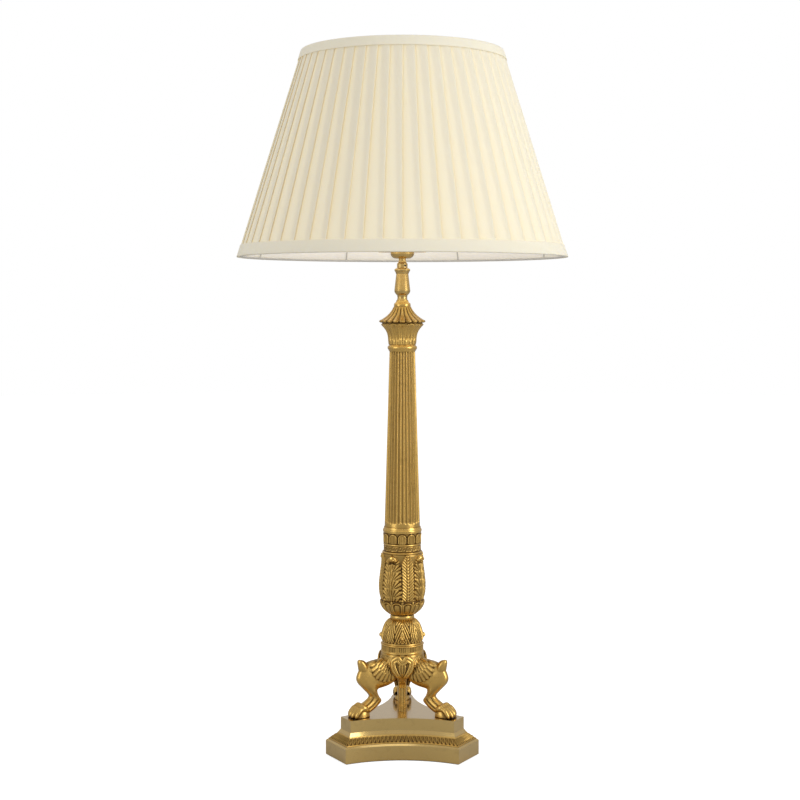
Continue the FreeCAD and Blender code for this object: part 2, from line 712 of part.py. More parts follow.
def toe_shapes(reach):
    """Four toes, each a rounded finger from the top of the paw down to the plinth."""
    length, across, rise = value("paw_length"), value("paw_width"), value("paw_height")
    toe = value("toe_radius")
    toes = []
    for number in range(4):
        offset = (number - 1.5) * (across - 2 * toe) / 3
        pull = 1.2 if number in (0, 3) else 0.0
        tip = Vector(reach - toe - pull, offset, toe * 0.9)
        back = tip + Vector(-length * 0.30, 0, rise * 0.42)
        way = back - tip
        finger = Part.makeCylinder(toe, way.Length, tip, way)
        toes.append(finger.fuse([Part.makeSphere(toe, tip), Part.makeSphere(toe, back)]))
    return toes


def leg_shape():
    reach, tall, width = value("leg_reach"), value("leg_height"), value("leg_width")
    sections = []
    for step in range(LEG_STEPS + 1):
        low_x, low_z, high_x, high_z, wide = between(LEG_SECTIONS, step / LEG_STEPS)
        low = Vector(low_x * reach, 0, low_z * tall)
        high = Vector(high_x * reach, 0, high_z * tall)
        sections.append(closed_oval((low + high) / 2, (high - low) / 2, Vector(0, wide * width / 2, 0)))
    shape = Part.makeLoft(sections, True, True)
    roll = value("knee_roll_radius")
    wide = value("knee_roll_width")
    knee = Part.makeCylinder(roll, wide, Vector(reach * 0.79, -wide / 2, tall), Vector(0, 1, 0))
    shape = shape.fuse([paw_shape(reach), knee] + toe_shapes(reach))
    floor = Part.makeBox(2 * reach, 2 * reach, reach, Vector(-reach / 2, -reach, -reach))
    screw = value("leg_screw_radius + touch_gap")
    above = value("leg_screw_length - plinth_plate")
    hole = Part.makeCylinder(screw, above + 1.0, Vector(value("leg_screw_reach"), 0, 0))
    boss = Part.makeCylinder(value("post_boss_radius + touch_gap"), 2 * tall, Vector(0, 0, 0))
    under_hub = Part.makeCylinder(value("hub_reach + slip_gap"), tall, Vector(0, 0, tall))
    return shape.cut([floor, hole, boss, under_hub])


def make_legs():
    shape = leg_shape()
    for name, azimuth in zip(LEG_NAMES, LEG_AZIMUTHS):
        loose(name, shape.copy(), value(PLINTH_TOP), azimuth)


def make_post():
    boss = "leg_height - post_boss_height"
    post = turned_piece("centre_post", [
        (BORE, "0"),
        ("post_radius + 1.6", "0"),
        ("post_radius + 1.6", "2"),
        ("post_radius", "4"),
        ("post_radius", f"{boss} - 6"),
        ("post_boss_radius", boss, "post_radius + 2.4", f"{boss} - 1.6"),
        ("post_boss_radius", "leg_height"),
        (BORE, "leg_height"),
    ], PLINTH_TOP)
    return post


def heart_shape():
    """Strap over the hub's edge and down to the post, cut to a heart. Drawn facing +X."""
    tall, thick = value("leg_height"), value("plaque_thickness")
    top = tall + value("hub_height")
    rim, neck, post = value("hub_reach"), value("hub_neck"), value("post_radius")
    foot = top - value("plaque_drop")
    clear = value("touch_gap")
    route = [
        Vector(neck + clear, 0, top - 0.5),
        Vector(rim + clear, 0, tall + 0.5),
        Vector(rim - 5, 0, tall - 11),
        Vector(post + 13, 0, foot + 11),
        Vector(post + 2.4, 0, foot),
    ]
    line = Part.BSplineCurve()
    line.interpolate(route)
    outer_points = []
    for point in route:
        slope = line.tangent(line.parameter(point))[0]
        outer_points.append(point + Vector(-slope.z, 0, slope.x) * thick * (-1 if slope.z > 0 else 1))
    outer = Part.BSplineCurve()
    outer.interpolate(outer_points)
    first = Part.LineSegment(route[-1], outer_points[-1]).toShape()
    last = Part.LineSegment(outer_points[0], route[0]).toShape()
    face = Part.Face(Part.Wire([line.toShape(), first, outer.toShape(), last]))
    wide = value("plaque_width")
    strap = face.extrude(Vector(0, wide * 1.2, 0))
    strap.translate(Vector(0, -wide * 0.6, 0))
    lobe = wide / 4
    shoulder = top - lobe * 1.15
    half_stem = post * 0.7
    low = foot - 2
    edges = []
    for side in (1, -1):
        inner_top = Vector(0, 0, shoulder + lobe * 0.35)
        lobe_top = Vector(0, side * lobe, shoulder + lobe * 1.1)
        outer_point = Vector(0, side * wide / 2, shoulder)
        waist = Vector(0, side * half_stem, foot + 8)
        edges.append(Part.Arc(inner_top, lobe_top, outer_point).toShape())
        belly = Vector(0, side * wide * 0.40, (shoulder * 0.55 + (foot + 8) * 0.45))
        edges.append(Part.Arc(outer_point, belly, waist).toShape())
        edges.append(Part.LineSegment(waist, Vector(0, side * half_stem, low)).toShape())
    edges.append(Part.LineSegment(Vector(0, half_stem, low), Vector(0, -half_stem, low)).toShape())
    heart = Part.Face(Part.Wire(Part.__sortEdges__(edges))).extrude(Vector(rim * 2, 0, 0))
    return strap.common(heart)


def make_plaques():
    shape = heart_shape()
    for name, azimuth in zip(PLAQUE_NAMES, PLAQUE_AZIMUTHS):
        loose(name, shape.copy(), value(PLINTH_TOP), azimuth)


# ---------------------------------------------------------------- stack above the legs

def make_hub():
    turned_piece("leg_hub", [
        (BORE, "0"),
        ("hub_reach", "0"),
        ("hub_reach", "1.6"),
        ("hub_neck", "hub_height", "hub_neck * 0.6 + hub_reach * 0.4 - 0.6", "hub_height * 0.45"),
        (BORE, "hub_height"),
    ], SEAT["hub"])


def make_reed_ring():
    ring = turned_piece("reeded_ring", [
        (BORE, "0"),
        ("reed_ring_radius - 0.8", "0"),
        ("reed_ring_radius - 0.8", "reed_ring_height", "reed_ring_radius", "reed_ring_height / 2"),
        (BORE, "reed_ring_height"),
    ], SEAT["reed_ring"])
    low = ("reed_ring_radius + 0.2", "-0.5")
    high = ("reed_ring_radius + 0.2", "reed_ring_height + 0.5")
    groove_round(ring, "reed_count", low, high, "reed_depth")


def make_knop():
    inner = "knop_top_radius - vase_wall"
    knop = turned_piece("acanthus_knop", [
        (BORE, "0"),
        ("knop_foot_radius", "0"),
        ("knop_foot_radius", "5.5"),
        ("knop_curl_radius", "9"),
        ("knop_curl_radius", "15"),
        ("knop_foot_radius - 1.5", "18"),
        ("knop_shoulder_radius", "22"),
        ("knop_top_radius", "knop_height", "knop_shoulder_radius - 0.4", "knop_height * 0.8"),
        (inner, "knop_height"),
        (inner, "vase_wall"),
        (BORE, "vase_wall"),
    ], SEAT["knop"])
    return knop


def make_collars():
    turned_piece("knop_collar", [
        (BORE, "0"),
        ("knop_collar_radius + 0.6", "0"),
        ("knop_collar_radius + 0.6", "1.4"),
        ("knop_collar_radius", "1.8"),
        (
            "vase_collar_radius + 1", "knop_collar_height",
            "knop_collar_radius - 0.9", "knop_collar_height * 0.66",
        ),
        (BORE, "knop_collar_height"),
    ], SEAT["knop_collar"])
    turned_piece("vase_collar", [
        (BORE, "0"),
        ("vase_collar_radius - 0.4", "0"),
        (
            "vase_collar_radius - 0.4", "vase_collar_height",
            "vase_collar_radius + 0.3", "vase_collar_height / 2",
        ),
        (BORE, "vase_collar_height"),
    ], SEAT["vase_collar"])


def make_lotus():
    inner_foot = "lotus_foot_radius - vase_wall"
    inner_rim = "vase_neck_radius - vase_wall"
    lotus = turned_piece("lotus_cup", [
        (BORE, "0"),
        ("lotus_foot_radius", "0"),
        (
            "lotus_rim_radius - 1", "lotus_height * 0.62",
            "lotus_foot_radius * 0.4 + lotus_rim_radius * 0.6 + 0.8", "lotus_height * 0.26",
        ),
        ("lotus_rim_radius", "lotus_height * 0.86"),
        ("lotus_rim_radius - 0.5", "lotus_height"),
        (inner_rim, "lotus_height"),
        (inner_foot, "vase_wall"),
        (BORE, "vase_wall"),
    ], SEAT["lotus"])
    low = ("lotus_foot_radius + petal_groove * 0.4", "-1")
    high = ("lotus_rim_radius + petal_groove", "lotus_height * 0.9")
    groove_round(lotus, "petal_count", low, high, "petal_groove")


def make_vase():
    inner = "vase_neck_radius - vase_wall"
    vase = turned_piece("vase", [
        (inner, "0"),
        ("vase_belly_radius - 2.3", "0"),
        ("vase_belly_radius - 1", "vase_height * 0.46", "vase_belly_radius", "vase_height * 0.28"),
        ("vase_neck_radius", "vase_height * 0.80"),
        ("vase_rim_radius", "vase_height * 0.92", "vase_neck_radius + 0.1", "vase_height * 0.87"),
        ("vase_rim_radius", "vase_height * 0.96"),
        ("vase_rim_radius - 1", "vase_height"),
        (BORE, "vase_height"),
        (BORE, "vase_height - vase_wall"),
        (inner, "vase_height - vase_wall"),
    ], SEAT["vase"])
    return vase


def make_frieze():
    turned_piece("wave_frieze", [
        (BORE, "0"),
        ("frieze_ring_radius", "0"),
        (
            "frieze_ring_radius - 0.4", "frieze_ring_height",
            "frieze_ring_radius + 0.6", "frieze_ring_height / 2",
        ),
        ("frieze_radius", "frieze_ring_height + 0.6"),
        ("frieze_radius", "frieze_height - 3"),
        ("frieze_radius", "frieze_height", "frieze_radius + 0.5", "frieze_height - 1.5"),
        (BORE, "frieze_height"),
    ], SEAT["frieze"])


def make_arcade():
    band = turned_piece("arcade_band", [
        (BORE, "0"),
        ("arcade_radius", "0"),
        ("arcade_radius", "arcade_height"),
        (BORE, "arcade_height"),
    ], SEAT["arcade"])
    before = band.Shape.Volume
    sketch = new_sketch(band, "YZ_Plane", "Arch", "arcade_radius - arch_depth")
    half = "arch_width / 2"
    spring = "arcade_height - 2 - arch_width / 2"
    draw_outline(sketch, [
        (f"-({half})", "2.2"),
        (half, "2.2"),
        (half, spring),
        (f"-({half})", spring, "0", f"{spring} + {half}"),
    ])
    pocket = band.newObject("PartDesign::Pocket", "ArchGround")
    pocket.Profile = sketch
    pocket.Reversed = True
    bind(pocket, "Length", "arch_depth + 1")
    doc.recompute()
    if band.Shape.Volume >= before:
        raise RuntimeError("arcade_band: the arch cut nothing")
    repeat_round(band, pocket, "arch_count")


def make_base_ring():
    turned_piece("column_base_ring", [
        (BORE, "0"),
        ("base_ring_radius", "0"),
        (
            "base_ring_radius - 0.8", "base_ring_height * 0.5",
            "base_ring_radius + 0.3", "base_ring_height * 0.25",
        ),
        ("base_ring_radius - 1.4", "base_ring_height"),
        (BORE, "base_ring_height"),
    ], SEAT["base_ring"])


def make_column():
    inner_foot = "column_foot_radius - column_wall"
    inner_top = "column_top_radius - column_wall"
    column = turned_piece("fluted_column", [
        (inner_foot, "0"),
        ("column_foot_radius", "0"),
        ("column_top_radius", "column_height"),
        (inner_top, "column_height"),
    ], SEAT["column"])
    rise = "column_height - flute_margin_top"
    taper = "(column_foot_radius - column_top_radius) / column_height"
    low_radius = f"column_foot_radius - {taper} * flute_margin_foot"
    high_radius = f"column_top_radius + {taper} * flute_margin_top"
    low_width = f"({low_radius}) * {math.pi:.6f} / flute_count * flute_share"
    high_width = f"({high_radius}) * {math.pi:.6f} / flute_count * flute_share"
    low = (f"{low_radius} + ({low_width}) * 0.42", "flute_margin_foot")
    high = (f"{high_radius} + ({high_width}) * 0.42", rise)
    groove_round(column, "flute_count", low, high, low_width, high_width)


def make_column_ring():
    turned_piece("column_ring", [
        (BORE, "0"),
        ("column_ring_radius - 2.3", "0"),
        ("column_ring_radius - 0.9", "column_ring_height * 0.28"),
        (
            "column_ring_radius - 1.6", "column_ring_height * 0.86",
            "column_ring_radius", "column_ring_height * 0.64",
        ),
        ("column_ring_radius - 2.3", "column_ring_height"),
        (BORE, "column_ring_height"),
    ], SEAT["column_ring"])


def make_capital():
    bell = turned_piece("capital_bell", [
        (BORE, "0"),
        ("bell_neck_radius", "0"),
        ("bell_neck_radius + 0.8", "bell_height * 0.36"),
        (
            "bell_rim_radius - 0.6", "bell_height * 0.93",
            "bell_neck_radius * 0.66 + bell_rim_radius * 0.34", "bell_height * 0.72",
        ),
        ("bell_rim_radius", "bell_height * 0.96"),
        ("bell_rim_radius", "bell_height"),
        (BORE, "bell_height"),
    ], SEAT["bell"])
    low = ("bell_neck_radius + bell_leaf_groove * 0.4", "-1")
    high = ("bell_neck_radius + bell_leaf_groove * 0.4 + 3", "bell_height * 0.78")
    groove_round(bell, "bell_leaf_count", low, high, "bell_leaf_groove")
    canopy = turned_piece("capital_canopy", [
        (BORE, "0"),
        ("canopy_radius - 1.4", "0"),
        ("canopy_radius", "canopy_edge * 0.5"),
        ("canopy_radius - 0.8", "canopy_edge"),
        (
            "canopy_neck_radius", "canopy_height",
            "canopy_neck_radius * 0.70 + canopy_radius * 0.30", "canopy_edge * 0.66 + canopy_height * 0.34",
        ),
        (BORE, "canopy_height"),
    ], SEAT["canopy"])
    low = ("canopy_radius + lobe_notch * 0.3", "-0.5")
    high = ("canopy_radius + lobe_notch * 0.3", "canopy_edge + 0.5")
    groove_round(canopy, "lobe_count", low, high, "lobe_notch")


def make_neck():
    turned_piece("neck_ring", [
        (BORE, "0"),
        ("neck_ring_radius", "0"),
        (
            "neck_ring_radius - 0.3", "neck_ring_height * 0.5",
            "neck_ring_radius + 0.2", "neck_ring_height * 0.25",
        ),
        (
            "neck_waist_radius + 1.4", "neck_ring_height",
            "neck_waist_radius * 0.5 + neck_ring_radius * 0.5 - 0.4", "neck_ring_height * 0.78",
        ),
        (BORE, "neck_ring_height"),
    ], SEAT["neck_ring"])
    turned_piece("neck_baluster", [
        (BORE, "0"),
        ("neck_waist_radius + 0.6", "0"),
        ("neck_waist_radius + 0.6", "neck_height * 0.19", "neck_waist_radius", "neck_height * 0.10"),
        ("neck_belly_radius", "neck_height * 0.36", "neck_belly_radius - 1.4", "neck_height * 0.255"),
        (
            "neck_top_radius", "neck_height",
            "(neck_belly_radius + neck_top_radius) / 2 - 0.2", "neck_height * 0.72",
        ),
        (BORE, "neck_height"),
    ], SEAT["neck"])
    turned_piece("neck_collar", [
        (BORE, "0"),
        ("neck_top_radius + 0.4", "0"),
        ("neck_collar_radius - 1.1", "neck_collar_height * 0.35"),
        (
            "neck_collar_radius - 0.4", "neck_collar_height * 0.82",
            "neck_collar_radius", "neck_collar_height * 0.66",
        ),
        ("neck_top_radius - 0.6", "neck_collar_height"),
        (BORE, "neck_collar_height"),
    ], SEAT["neck_collar"])


SET_SCREW_AZIMUTH = -57


def make_knuckle():
    knuckle = turned_piece("knuckle", [
        (BORE, "0"),
        ("knuckle_radius", "0"),
        ("knuckle_radius", "knuckle_height * 0.62"),
        ("knuckle_radius - 1.6", "knuckle_height * 0.8"),
        ("knuckle_radius - 2", "knuckle_height"),
        (BORE, "knuckle_height"),
    ], SEAT["knuckle"])
    before = knuckle.Shape.Volume
    sketch = new_sketch(knuckle, "YZ_Plane", "SetScrewCircle")
    up = value("knuckle_height * 0.34")
    radius = "set_screw_radius + touch_gap"
    circle = sketch.addGeometry(Part.Circle(Vector(0, up, 0), Vector(0, 0, 1), value(radius)), False)
    index = sketch.addConstraint(Sketcher.Constraint("Radius", circle, value(radius)))
    bind(sketch, f"Constraints[{index}]", radius)
    pin_point(sketch, circle, 3, "0", "knuckle_height * 0.34")
    pocket = knuckle.newObject("PartDesign::Pocket", "SetScrewHole")
    pocket.Profile = sketch
    pocket.Reversed = True
    bind(pocket, "Length", "knuckle_radius + 1")
    doc.recompute()
    if knuckle.Shape.Volume >= before:
        raise RuntimeError("knuckle: the set screw's hole cut nothing")
    knuckle.Placement = Placement(knuckle.Placement.Base, Rotation(Vector(0, 0, 1), SET_SCREW_AZIMUTH))
    bind(knuckle, "Placement.Base.z", SEAT["knuckle"])
    reach = value("knuckle_radius - 0.3")
    start = value("rod_radius + touch_gap")
    foot = Vector(start, 0, 0)
    screw = Part.makeCylinder(value("set_screw_radius"), reach - start, foot, Vector(1, 0, 0))
    loose("set_screw", screw, value(f"{SEAT['knuckle']} + knuckle_height * 0.34"), SET_SCREW_AZIMUTH)


def make_dish():
    turned_piece("holder_dish", [
        (BORE, "0"),
        ("dish_seat_radius", "0"),
        ("dish_radius", "dish_height * 0.72", "dish_radius - 2", "dish_height * 0.28"),
        ("dish_radius", "dish_height"),
        (BORE, "dish_height"),
    ], SEAT["dish"])


# ---------------------------------------------------------------- harp, finial and lampholder

def make_saddle():
    """Strip on the dish with an upright ear at each end."""
    thick, wide = value("saddle_thickness"), value("saddle_width")
    reach, ear = value("saddle_reach"), value("ear_height")
    strip = Part.makeBox(2 * reach, wide, thick, Vector(-reach, -wide / 2, 0))
    pieces = []
    pin = value("harp_wire_radius - 0.9")
    for side in (-1, 1):
        base = Part.makeCylinder(value("sleeve_radius + 1"), thick, Vector(side * reach, 0, 0))
        post = Part.makeCylinder(pin, ear, Vector(side * reach, 0, 0))
        pieces += [base, post]
    shape = strip.fuse(pieces).removeSplitter()
    shape = shape.cut(Part.makeCylinder(value(BORE), thick, Vector(0, 0, 0)))
    loose("harp_saddle", shape, value(SEAT["saddle"]))


def harp_path():
    """Centre line of the harp's wire: up, out in a double bend, up, and over in a half circle."""
    foot, reach, tall = value("saddle_reach"), value("harp_reach"), value("harp_height")
    low = value("saddle_thickness + slip_gap")
    bend_foot = low + value("ear_height + sleeve_height") + 4
    rise, out = value("harp_bend_height"), reach - foot
    bend = (out**2 + rise**2) / (4 * out)
    half_turn = math.asin(rise / 2 / bend)
    quarter = (bend * (1 - math.cos(half_turn / 2)), bend * math.sin(half_turn / 2))
    side = [
        Vector(foot, 0, low),
        Vector(foot, 0, bend_foot),
        Vector(foot + quarter[0], 0, bend_foot + quarter[1]),
        Vector(foot + out / 2, 0, bend_foot + rise / 2),
        Vector(reach - quarter[0], 0, bend_foot + rise - quarter[1]),
        Vector(reach, 0, bend_foot + rise),
    ]
    top = tall - value("harp_wire_radius") - reach
    crown = Vector(0, 0, top + reach)
    other = [Vector(-p.x, 0, p.z) for p in side]
    edges = [
        Part.LineSegment(other[0], other[1]),
        Part.Arc(other[1], other[2], other[3]),
        Part.Arc(other[3], other[4], other[5]),
        Part.LineSegment(other[5], Vector(-reach, 0, top)),
        Part.Arc(Vector(-reach, 0, top), crown, Vector(reach, 0, top)),
        Part.LineSegment(Vector(reach, 0, top), side[5]),
        Part.Arc(side[5], side[4], side[3]),
        Part.Arc(side[3], side[2], side[1]),
        Part.LineSegment(side[1], side[0]),
    ]
    return Part.Wire([edge.toShape() for edge in edges])


def make_harp():
    wire = value("harp_wire_radius")
    path = harp_path()
    start = path.Vertexes[0].Point
    ring = Part.Wire([Part.Circle(start, Vector(0, 0, 1), wire).toShape()])
    loop = path.makePipeShell([ring], True, False)
    tall = value("harp_height")
    thick = value("stud_seat_thickness")
    seat = Part.makeCylinder(value("stud_seat_radius"), thick, Vector(0, 0, tall - thick))
    stud = Part.makeCylinder(value("stud_radius"), value("stud_height"), Vector(0, 0, tall))
    shape = loop.fuse([seat, stud]).removeSplitter()
    for side in (-1, 1):
        pin = value("harp_wire_radius - 0.9 + touch_gap")
        deep = value("ear_height + slip_gap")
        shape = shape.cut(Part.makeCylinder(pin, deep, Vector(side * value("saddle_reach"), 0, 0)))
    loose("harp", shape, value(SEAT["saddle"]))
    for name, side in (("harp_sleeve_left", -1), ("harp_sleeve_right", 1)):
        low = value("saddle_thickness + slip_gap")
        place = Vector(side * value("saddle_reach"), 0, low)
        sleeve = Part.makeCylinder(value("sleeve_radius"), value("sleeve_height"), place)
        bore = Part.makeCylinder(wire + value("touch_gap"), value("sleeve_height"), place)
        loose(name, sleeve.cut(bore), value(SEAT["saddle"]))


def make_finial():
    low = "stud_radius + touch_gap"
    turned_piece("finial", [
        (low, "0"),
        ("finial_radius * 0.72", "0"),
        ("finial_radius * 0.72", "2.2"),
        ("finial_radius * 0.42", "4"),
        ("finial_radius * 0.42", "8"),
        ("finial_radius", "finial_height * 0.52", "finial_radius * 0.84", "finial_height * 0.34"),
        ("finial_radius * 0.4", "finial_height * 0.86", "finial_radius * 0.86", "finial_height * 0.72"),
        ("finial_radius * 0.1", "finial_height", "finial_radius * 0.3", "finial_height * 0.97"),
        ("0", "finial_height"),
        ("0", "stud_height + 1.5"),
        (low, "stud_height + 1.5"),
    ], f"{SPIDER_SEAT} + spider_hub_thickness + slip_gap")


SHELL_INSIDE = "cap_radius - holder_wall"
LINER_INSIDE = f"{SHELL_INSIDE} - touch_gap - liner_wall"
INTERIOR_SEAT = f"{SEAT['shell']} + 3"
BULB_SEAT = f"{INTERIOR_SEAT} + interior_height + screw_shell_wall + 2"


def make_lampholder():
    turned_piece("lampholder_cap", [
        (BORE, "0"),
        ("cap_radius * 0.55", "0"),
        ("cap_radius", "cap_height * 0.8", "cap_radius * 0.93", "cap_height * 0.3"),
        ("cap_radius", "cap_height"),
        (SHELL_INSIDE, "cap_height"),
        (SHELL_INSIDE, "cap_height * 0.8"),
        ("cap_radius * 0.55 - holder_wall", "holder_wall"),
        (BORE, "holder_wall"),
    ], SEAT["cap"])
    hole = "key_stem_radius + slip_gap"
    height = "shell_height * 0.25"
    shell = turned_piece("lampholder_shell", [
        (SHELL_INSIDE, "0"),
        ("cap_radius", "0"),
        ("cap_radius", "shell_height"),
        (SHELL_INSIDE, "shell_height"),
    ], SEAT["shell"])
    side_hole(shell, hole, height)
    liner = turned_piece("insulating_liner", [
        (LINER_INSIDE, "0"),
        (f"{SHELL_INSIDE} - touch_gap", "0"),
        (f"{SHELL_INSIDE} - touch_gap", "shell_height - 1"),
        (LINER_INSIDE, "shell_height - 1"),
    ], SEAT["shell"])
    side_hole(liner, hole, height)
    body = f"{LINER_INSIDE} - touch_gap"
    interior = turned_piece("lampholder_body", [
        ("0", "0"),
        (body, "0"),
        (body, "interior_height"),
        ("0", "interior_height"),
    ], INTERIOR_SEAT)
    side_hole(interior, hole, f"{height} - 3")
    inside = "screw_shell_radius - screw_shell_wall"
    turned_piece("screw_shell", [
        ("6", "0"),
        ("screw_shell_radius", "0"),
        ("screw_shell_radius", "screw_shell_height"),
        (inside, "screw_shell_height"),
        (inside, "screw_shell_wall"),
        ("6", "screw_shell_wall"),
    ], f"{INTERIOR_SEAT} + interior_height")
    turned_piece("centre_contact", [
        ("0", "0"),
        ("3", "0"),
        ("3", "screw_shell_wall + 1"),
        ("0", "screw_shell_wall + 1.7"),
    ], f"{INTERIOR_SEAT} + interior_height")


def side_hole(body, radius, height):
    """Round hole through the front wall, facing -Y."""
    before = body.Shape.Volume
    sketch = new_sketch(body, "XZ_Plane", "SideCircle")
    middle = Vector(0, value(height), 0)
    circle = sketch.addGeometry(Part.Circle(middle, Vector(0, 0, 1), value(radius)), False)
    index = sketch.addConstraint(Sketcher.Constraint("Radius", circle, value(radius)))
    bind(sketch, f"Constraints[{index}]", radius)
    pin_point(sketch, circle, 3, "0", height)
    pocket = body.newObject("PartDesign::Pocket", "SideHole")
    pocket.Profile = sketch
    pocket.Reversed = True
    bind(pocket, "Length", "cap_radius + 1")
    doc.recompute()
    if body.Shape.Volume >= before:
        raise RuntimeError(f"{body.Label}: the side hole cut nothing")


def make_switch_key():
    key = turned_piece("switch_key", [
        ("0", "cap_radius * 0.35"),
        ("key_stem_radius", "cap_radius * 0.35"),
        ("key_stem_radius", "key_reach - key_length"),
        ("key_radius * 0.7", "key_reach - key_length"),
        ("key_radius", "key_reach - key_length * 0.7"),
        ("key_radius * 0.8", "key_reach - 1"),
        ("key_radius * 0.6", "key_reach"),
        ("0", "key_reach"),
    ])
    key.Placement = Placement(Vector(0, 0, 0), Rotation(Vector(1, 0, 0), 90))
    bind(key, "Placement.Base.z", f"{SEAT['shell']} + shell_height * 0.25")


def make_bulb():
    turned_piece("bulb_cap", [
        ("0", "0"),
        ("4.4", "0"),
        ("bulb_cap_radius - 2.2", "3"),
        ("bulb_cap_radius", "5"),
        ("bulb_cap_radius", "bulb_cap_height"),
        ("0", "bulb_cap_height"),
    ], BULB_SEAT)
    turned_piece("bulb_glass", [
        ("0", "0"),
        ("bulb_neck_radius", "0"),
        ("bulb_neck_radius + 1", "bulb_height * 0.14"),
        ("bulb_radius", "bulb_height - bulb_radius", "bulb_radius * 0.80", "bulb_height * 0.36"),
        ("bulb_radius * 0.05", "bulb_height", "bulb_radius * 0.72", "bulb_height - bulb_radius * 0.29"),
        ("0", "bulb_height"),
    ], f"{BULB_SEAT} + bulb_cap_height + touch_gap")


# ---------------------------------------------------------------- shade

def shade_radius(share, inset):
    """Radius of the shade's cone at a share of its height, less an inset."""
    bottom, top = value("shade_bottom_radius"), value("shade_top_radius")
    return bottom + (top - bottom) * share - inset


def cone_shell(outer_inset, thickness, low_share, high_share):
    tall = value("shade_height")
    shells = []
    for inset in (outer_inset, outer_inset + thickness):
        low, high = shade_radius(low_share, inset), shade_radius(high_share, inset)
        base = Vector(0, 0, tall * low_share)
        shells.append(Part.makeCone(low, high, tall * (high_share - low_share), base))
    return shells[0].cut(shells[1])


# How far round its pitch each pleat falls back to its fold, and the flat facets behind each pleat.
FOLD_SHARE = 0.25
INNER_FACETS = 4


def pleated_cover():
    """Cone whose outer face is folded into knife pleats, with narrow flat facets inside."""
    count = int(round(value("pleat_count")))
    fold, skin, trim = value("pleat_depth"), value("cover_thickness"), value("trim_thickness + touch_gap")
    tall = value("shade_height")
    pleat = [(0.0, trim), (FOLD_SHARE, trim + fold)]
    back = [(step / INNER_FACETS, trim + fold + skin) for step in range(INNER_FACETS)]
    faces = []
    for section in (pleat, back):
        rims = []
        for share in (0.0, 1.0):
            points = []
            for number in range(count):
                for turn, inset in section:
                    angle = 2 * math.pi * (number + turn) / count
                    reach = shade_radius(share, inset)
                    points.append(Vector(reach * math.cos(angle), reach * math.sin(angle), share * tall))
            rims.append(Part.makePolygon(points + points[:1]))
        faces.append(Part.makeLoft(rims, True, True))
    return faces[0].cut(faces[1])


def torus(reach, height, wire):
    return Part.makeTorus(reach, wire, Vector(0, 0, height))


def make_shade():
    tall, wire = value("shade_height"), value("frame_wire_radius")
    base = value(SHADE_FOOT)
    loose("shade_cover", pleated_cover(), base)
    inset = value("trim_thickness + touch_gap + pleat_depth + cover_thickness + touch_gap * 2")
    lining = value("lining_thickness")
    loose("shade_lining", cone_shell(inset, lining, 0.0, 1.0), base)
    bottom_share = value("bottom_trim_height") / tall
    top_share = 1 - value("top_trim_height") / tall
    trim = value("trim_thickness")
    loose("shade_bottom_trim", cone_shell(0.0, trim, 0.0, bottom_share), base)
    loose("shade_top_trim", cone_shell(0.0, trim, top_share, 1.0), base)
    inside = inset + lining + value("touch_gap * 2") + wire * 1.06
    low_ring = (shade_radius(wire / tall, inside), wire)
    high_ring = (shade_radius(1 - wire / tall, inside), tall - wire)
    loose("shade_bottom_ring", torus(low_ring[0], low_ring[1], wire), base)
    loose("shade_top_ring", torus(high_ring[0], high_ring[1], wire), base)
    ribs = []
    count = int(round(value("rib_count")))
    for number in range(count):
        angle = 2 * math.pi * (number + 0.5) / count
        out = Vector(math.cos(angle), math.sin(angle), 0)
        low, high = low_ring[1] + wire * 1.1, high_ring[1] - wire * 1.1
        start = out * shade_radius(low / tall, inside) + Vector(0, 0, low)
        end = out * shade_radius(high / tall, inside) + Vector(0, 0, high)
        way = end - start
        ribs.append(Part.makeCylinder(wire * 0.8, way.Length, start, way))
    loose("shade_ribs", Part.makeCompound(ribs), base)
    make_spider(high_ring, base)


def make_spider(high_ring, base):
    """Hub washer on the harp's seat, with arms that rise to the top ring."""
    tall, wire = value("shade_height"), value("frame_wire_radius")
    hub = value("spider_hub_radius")
    thick = value("spider_hub_thickness")
    low = tall - value("spider_drop")
    shape = Part.makeCylinder(hub, thick, Vector(0, 0, low))
    arms = []
    count = int(round(value("spider_arm_count")))
    for number in range(count):
        angle = 2 * math.pi * number / count + math.pi / 2
        out = Vector(math.cos(angle), math.sin(angle), 0)
        start = out * (hub - 2.5) + Vector(0, 0, low + thick / 2)
        bend = out * (high_ring[0] * 0.62) + Vector(0, 0, low + thick / 2)
        end = out * (high_ring[0] - wire * 1.15) + Vector(0, 0, high_ring[1])
        for first, last in ((start, bend), (bend, end)):
            way = last - first
            arms.append(Part.makeCylinder(thick / 2, way.Length, first, way))
        arms.append(Part.makeSphere(thick / 2, bend))
    shape = shape.fuse(arms).removeSplitter()
    hole = Part.makeCylinder(value("stud_radius + slip_gap"), thick + 2, Vector(0, 0, low - 1))
    loose("shade_spider", shape.cut(hole), base)


# ---------------------------------------------------------------- build, check and write

def build_all():
    make_felt()
    make_foot()
    make_band()
    make_block()
    make_ballast()
    make_grommet()
    make_rod()
    make_fasteners()
    make_legs()
    make_post()
    make_plaques()
    make_hub()
    make_reed_ring()
    make_knop()
    make_collars()
    make_lotus()
    make_vase()
    make_frieze()
    make_arcade()
    make_base_ring()
    make_column()
    make_column_ring()
    make_capital()
    make_neck()
    make_knuckle()
    make_dish()
    make_saddle()
    make_harp()
    make_finial()
    make_lampholder()
    make_switch_key()
    make_bulb()
    make_shade()


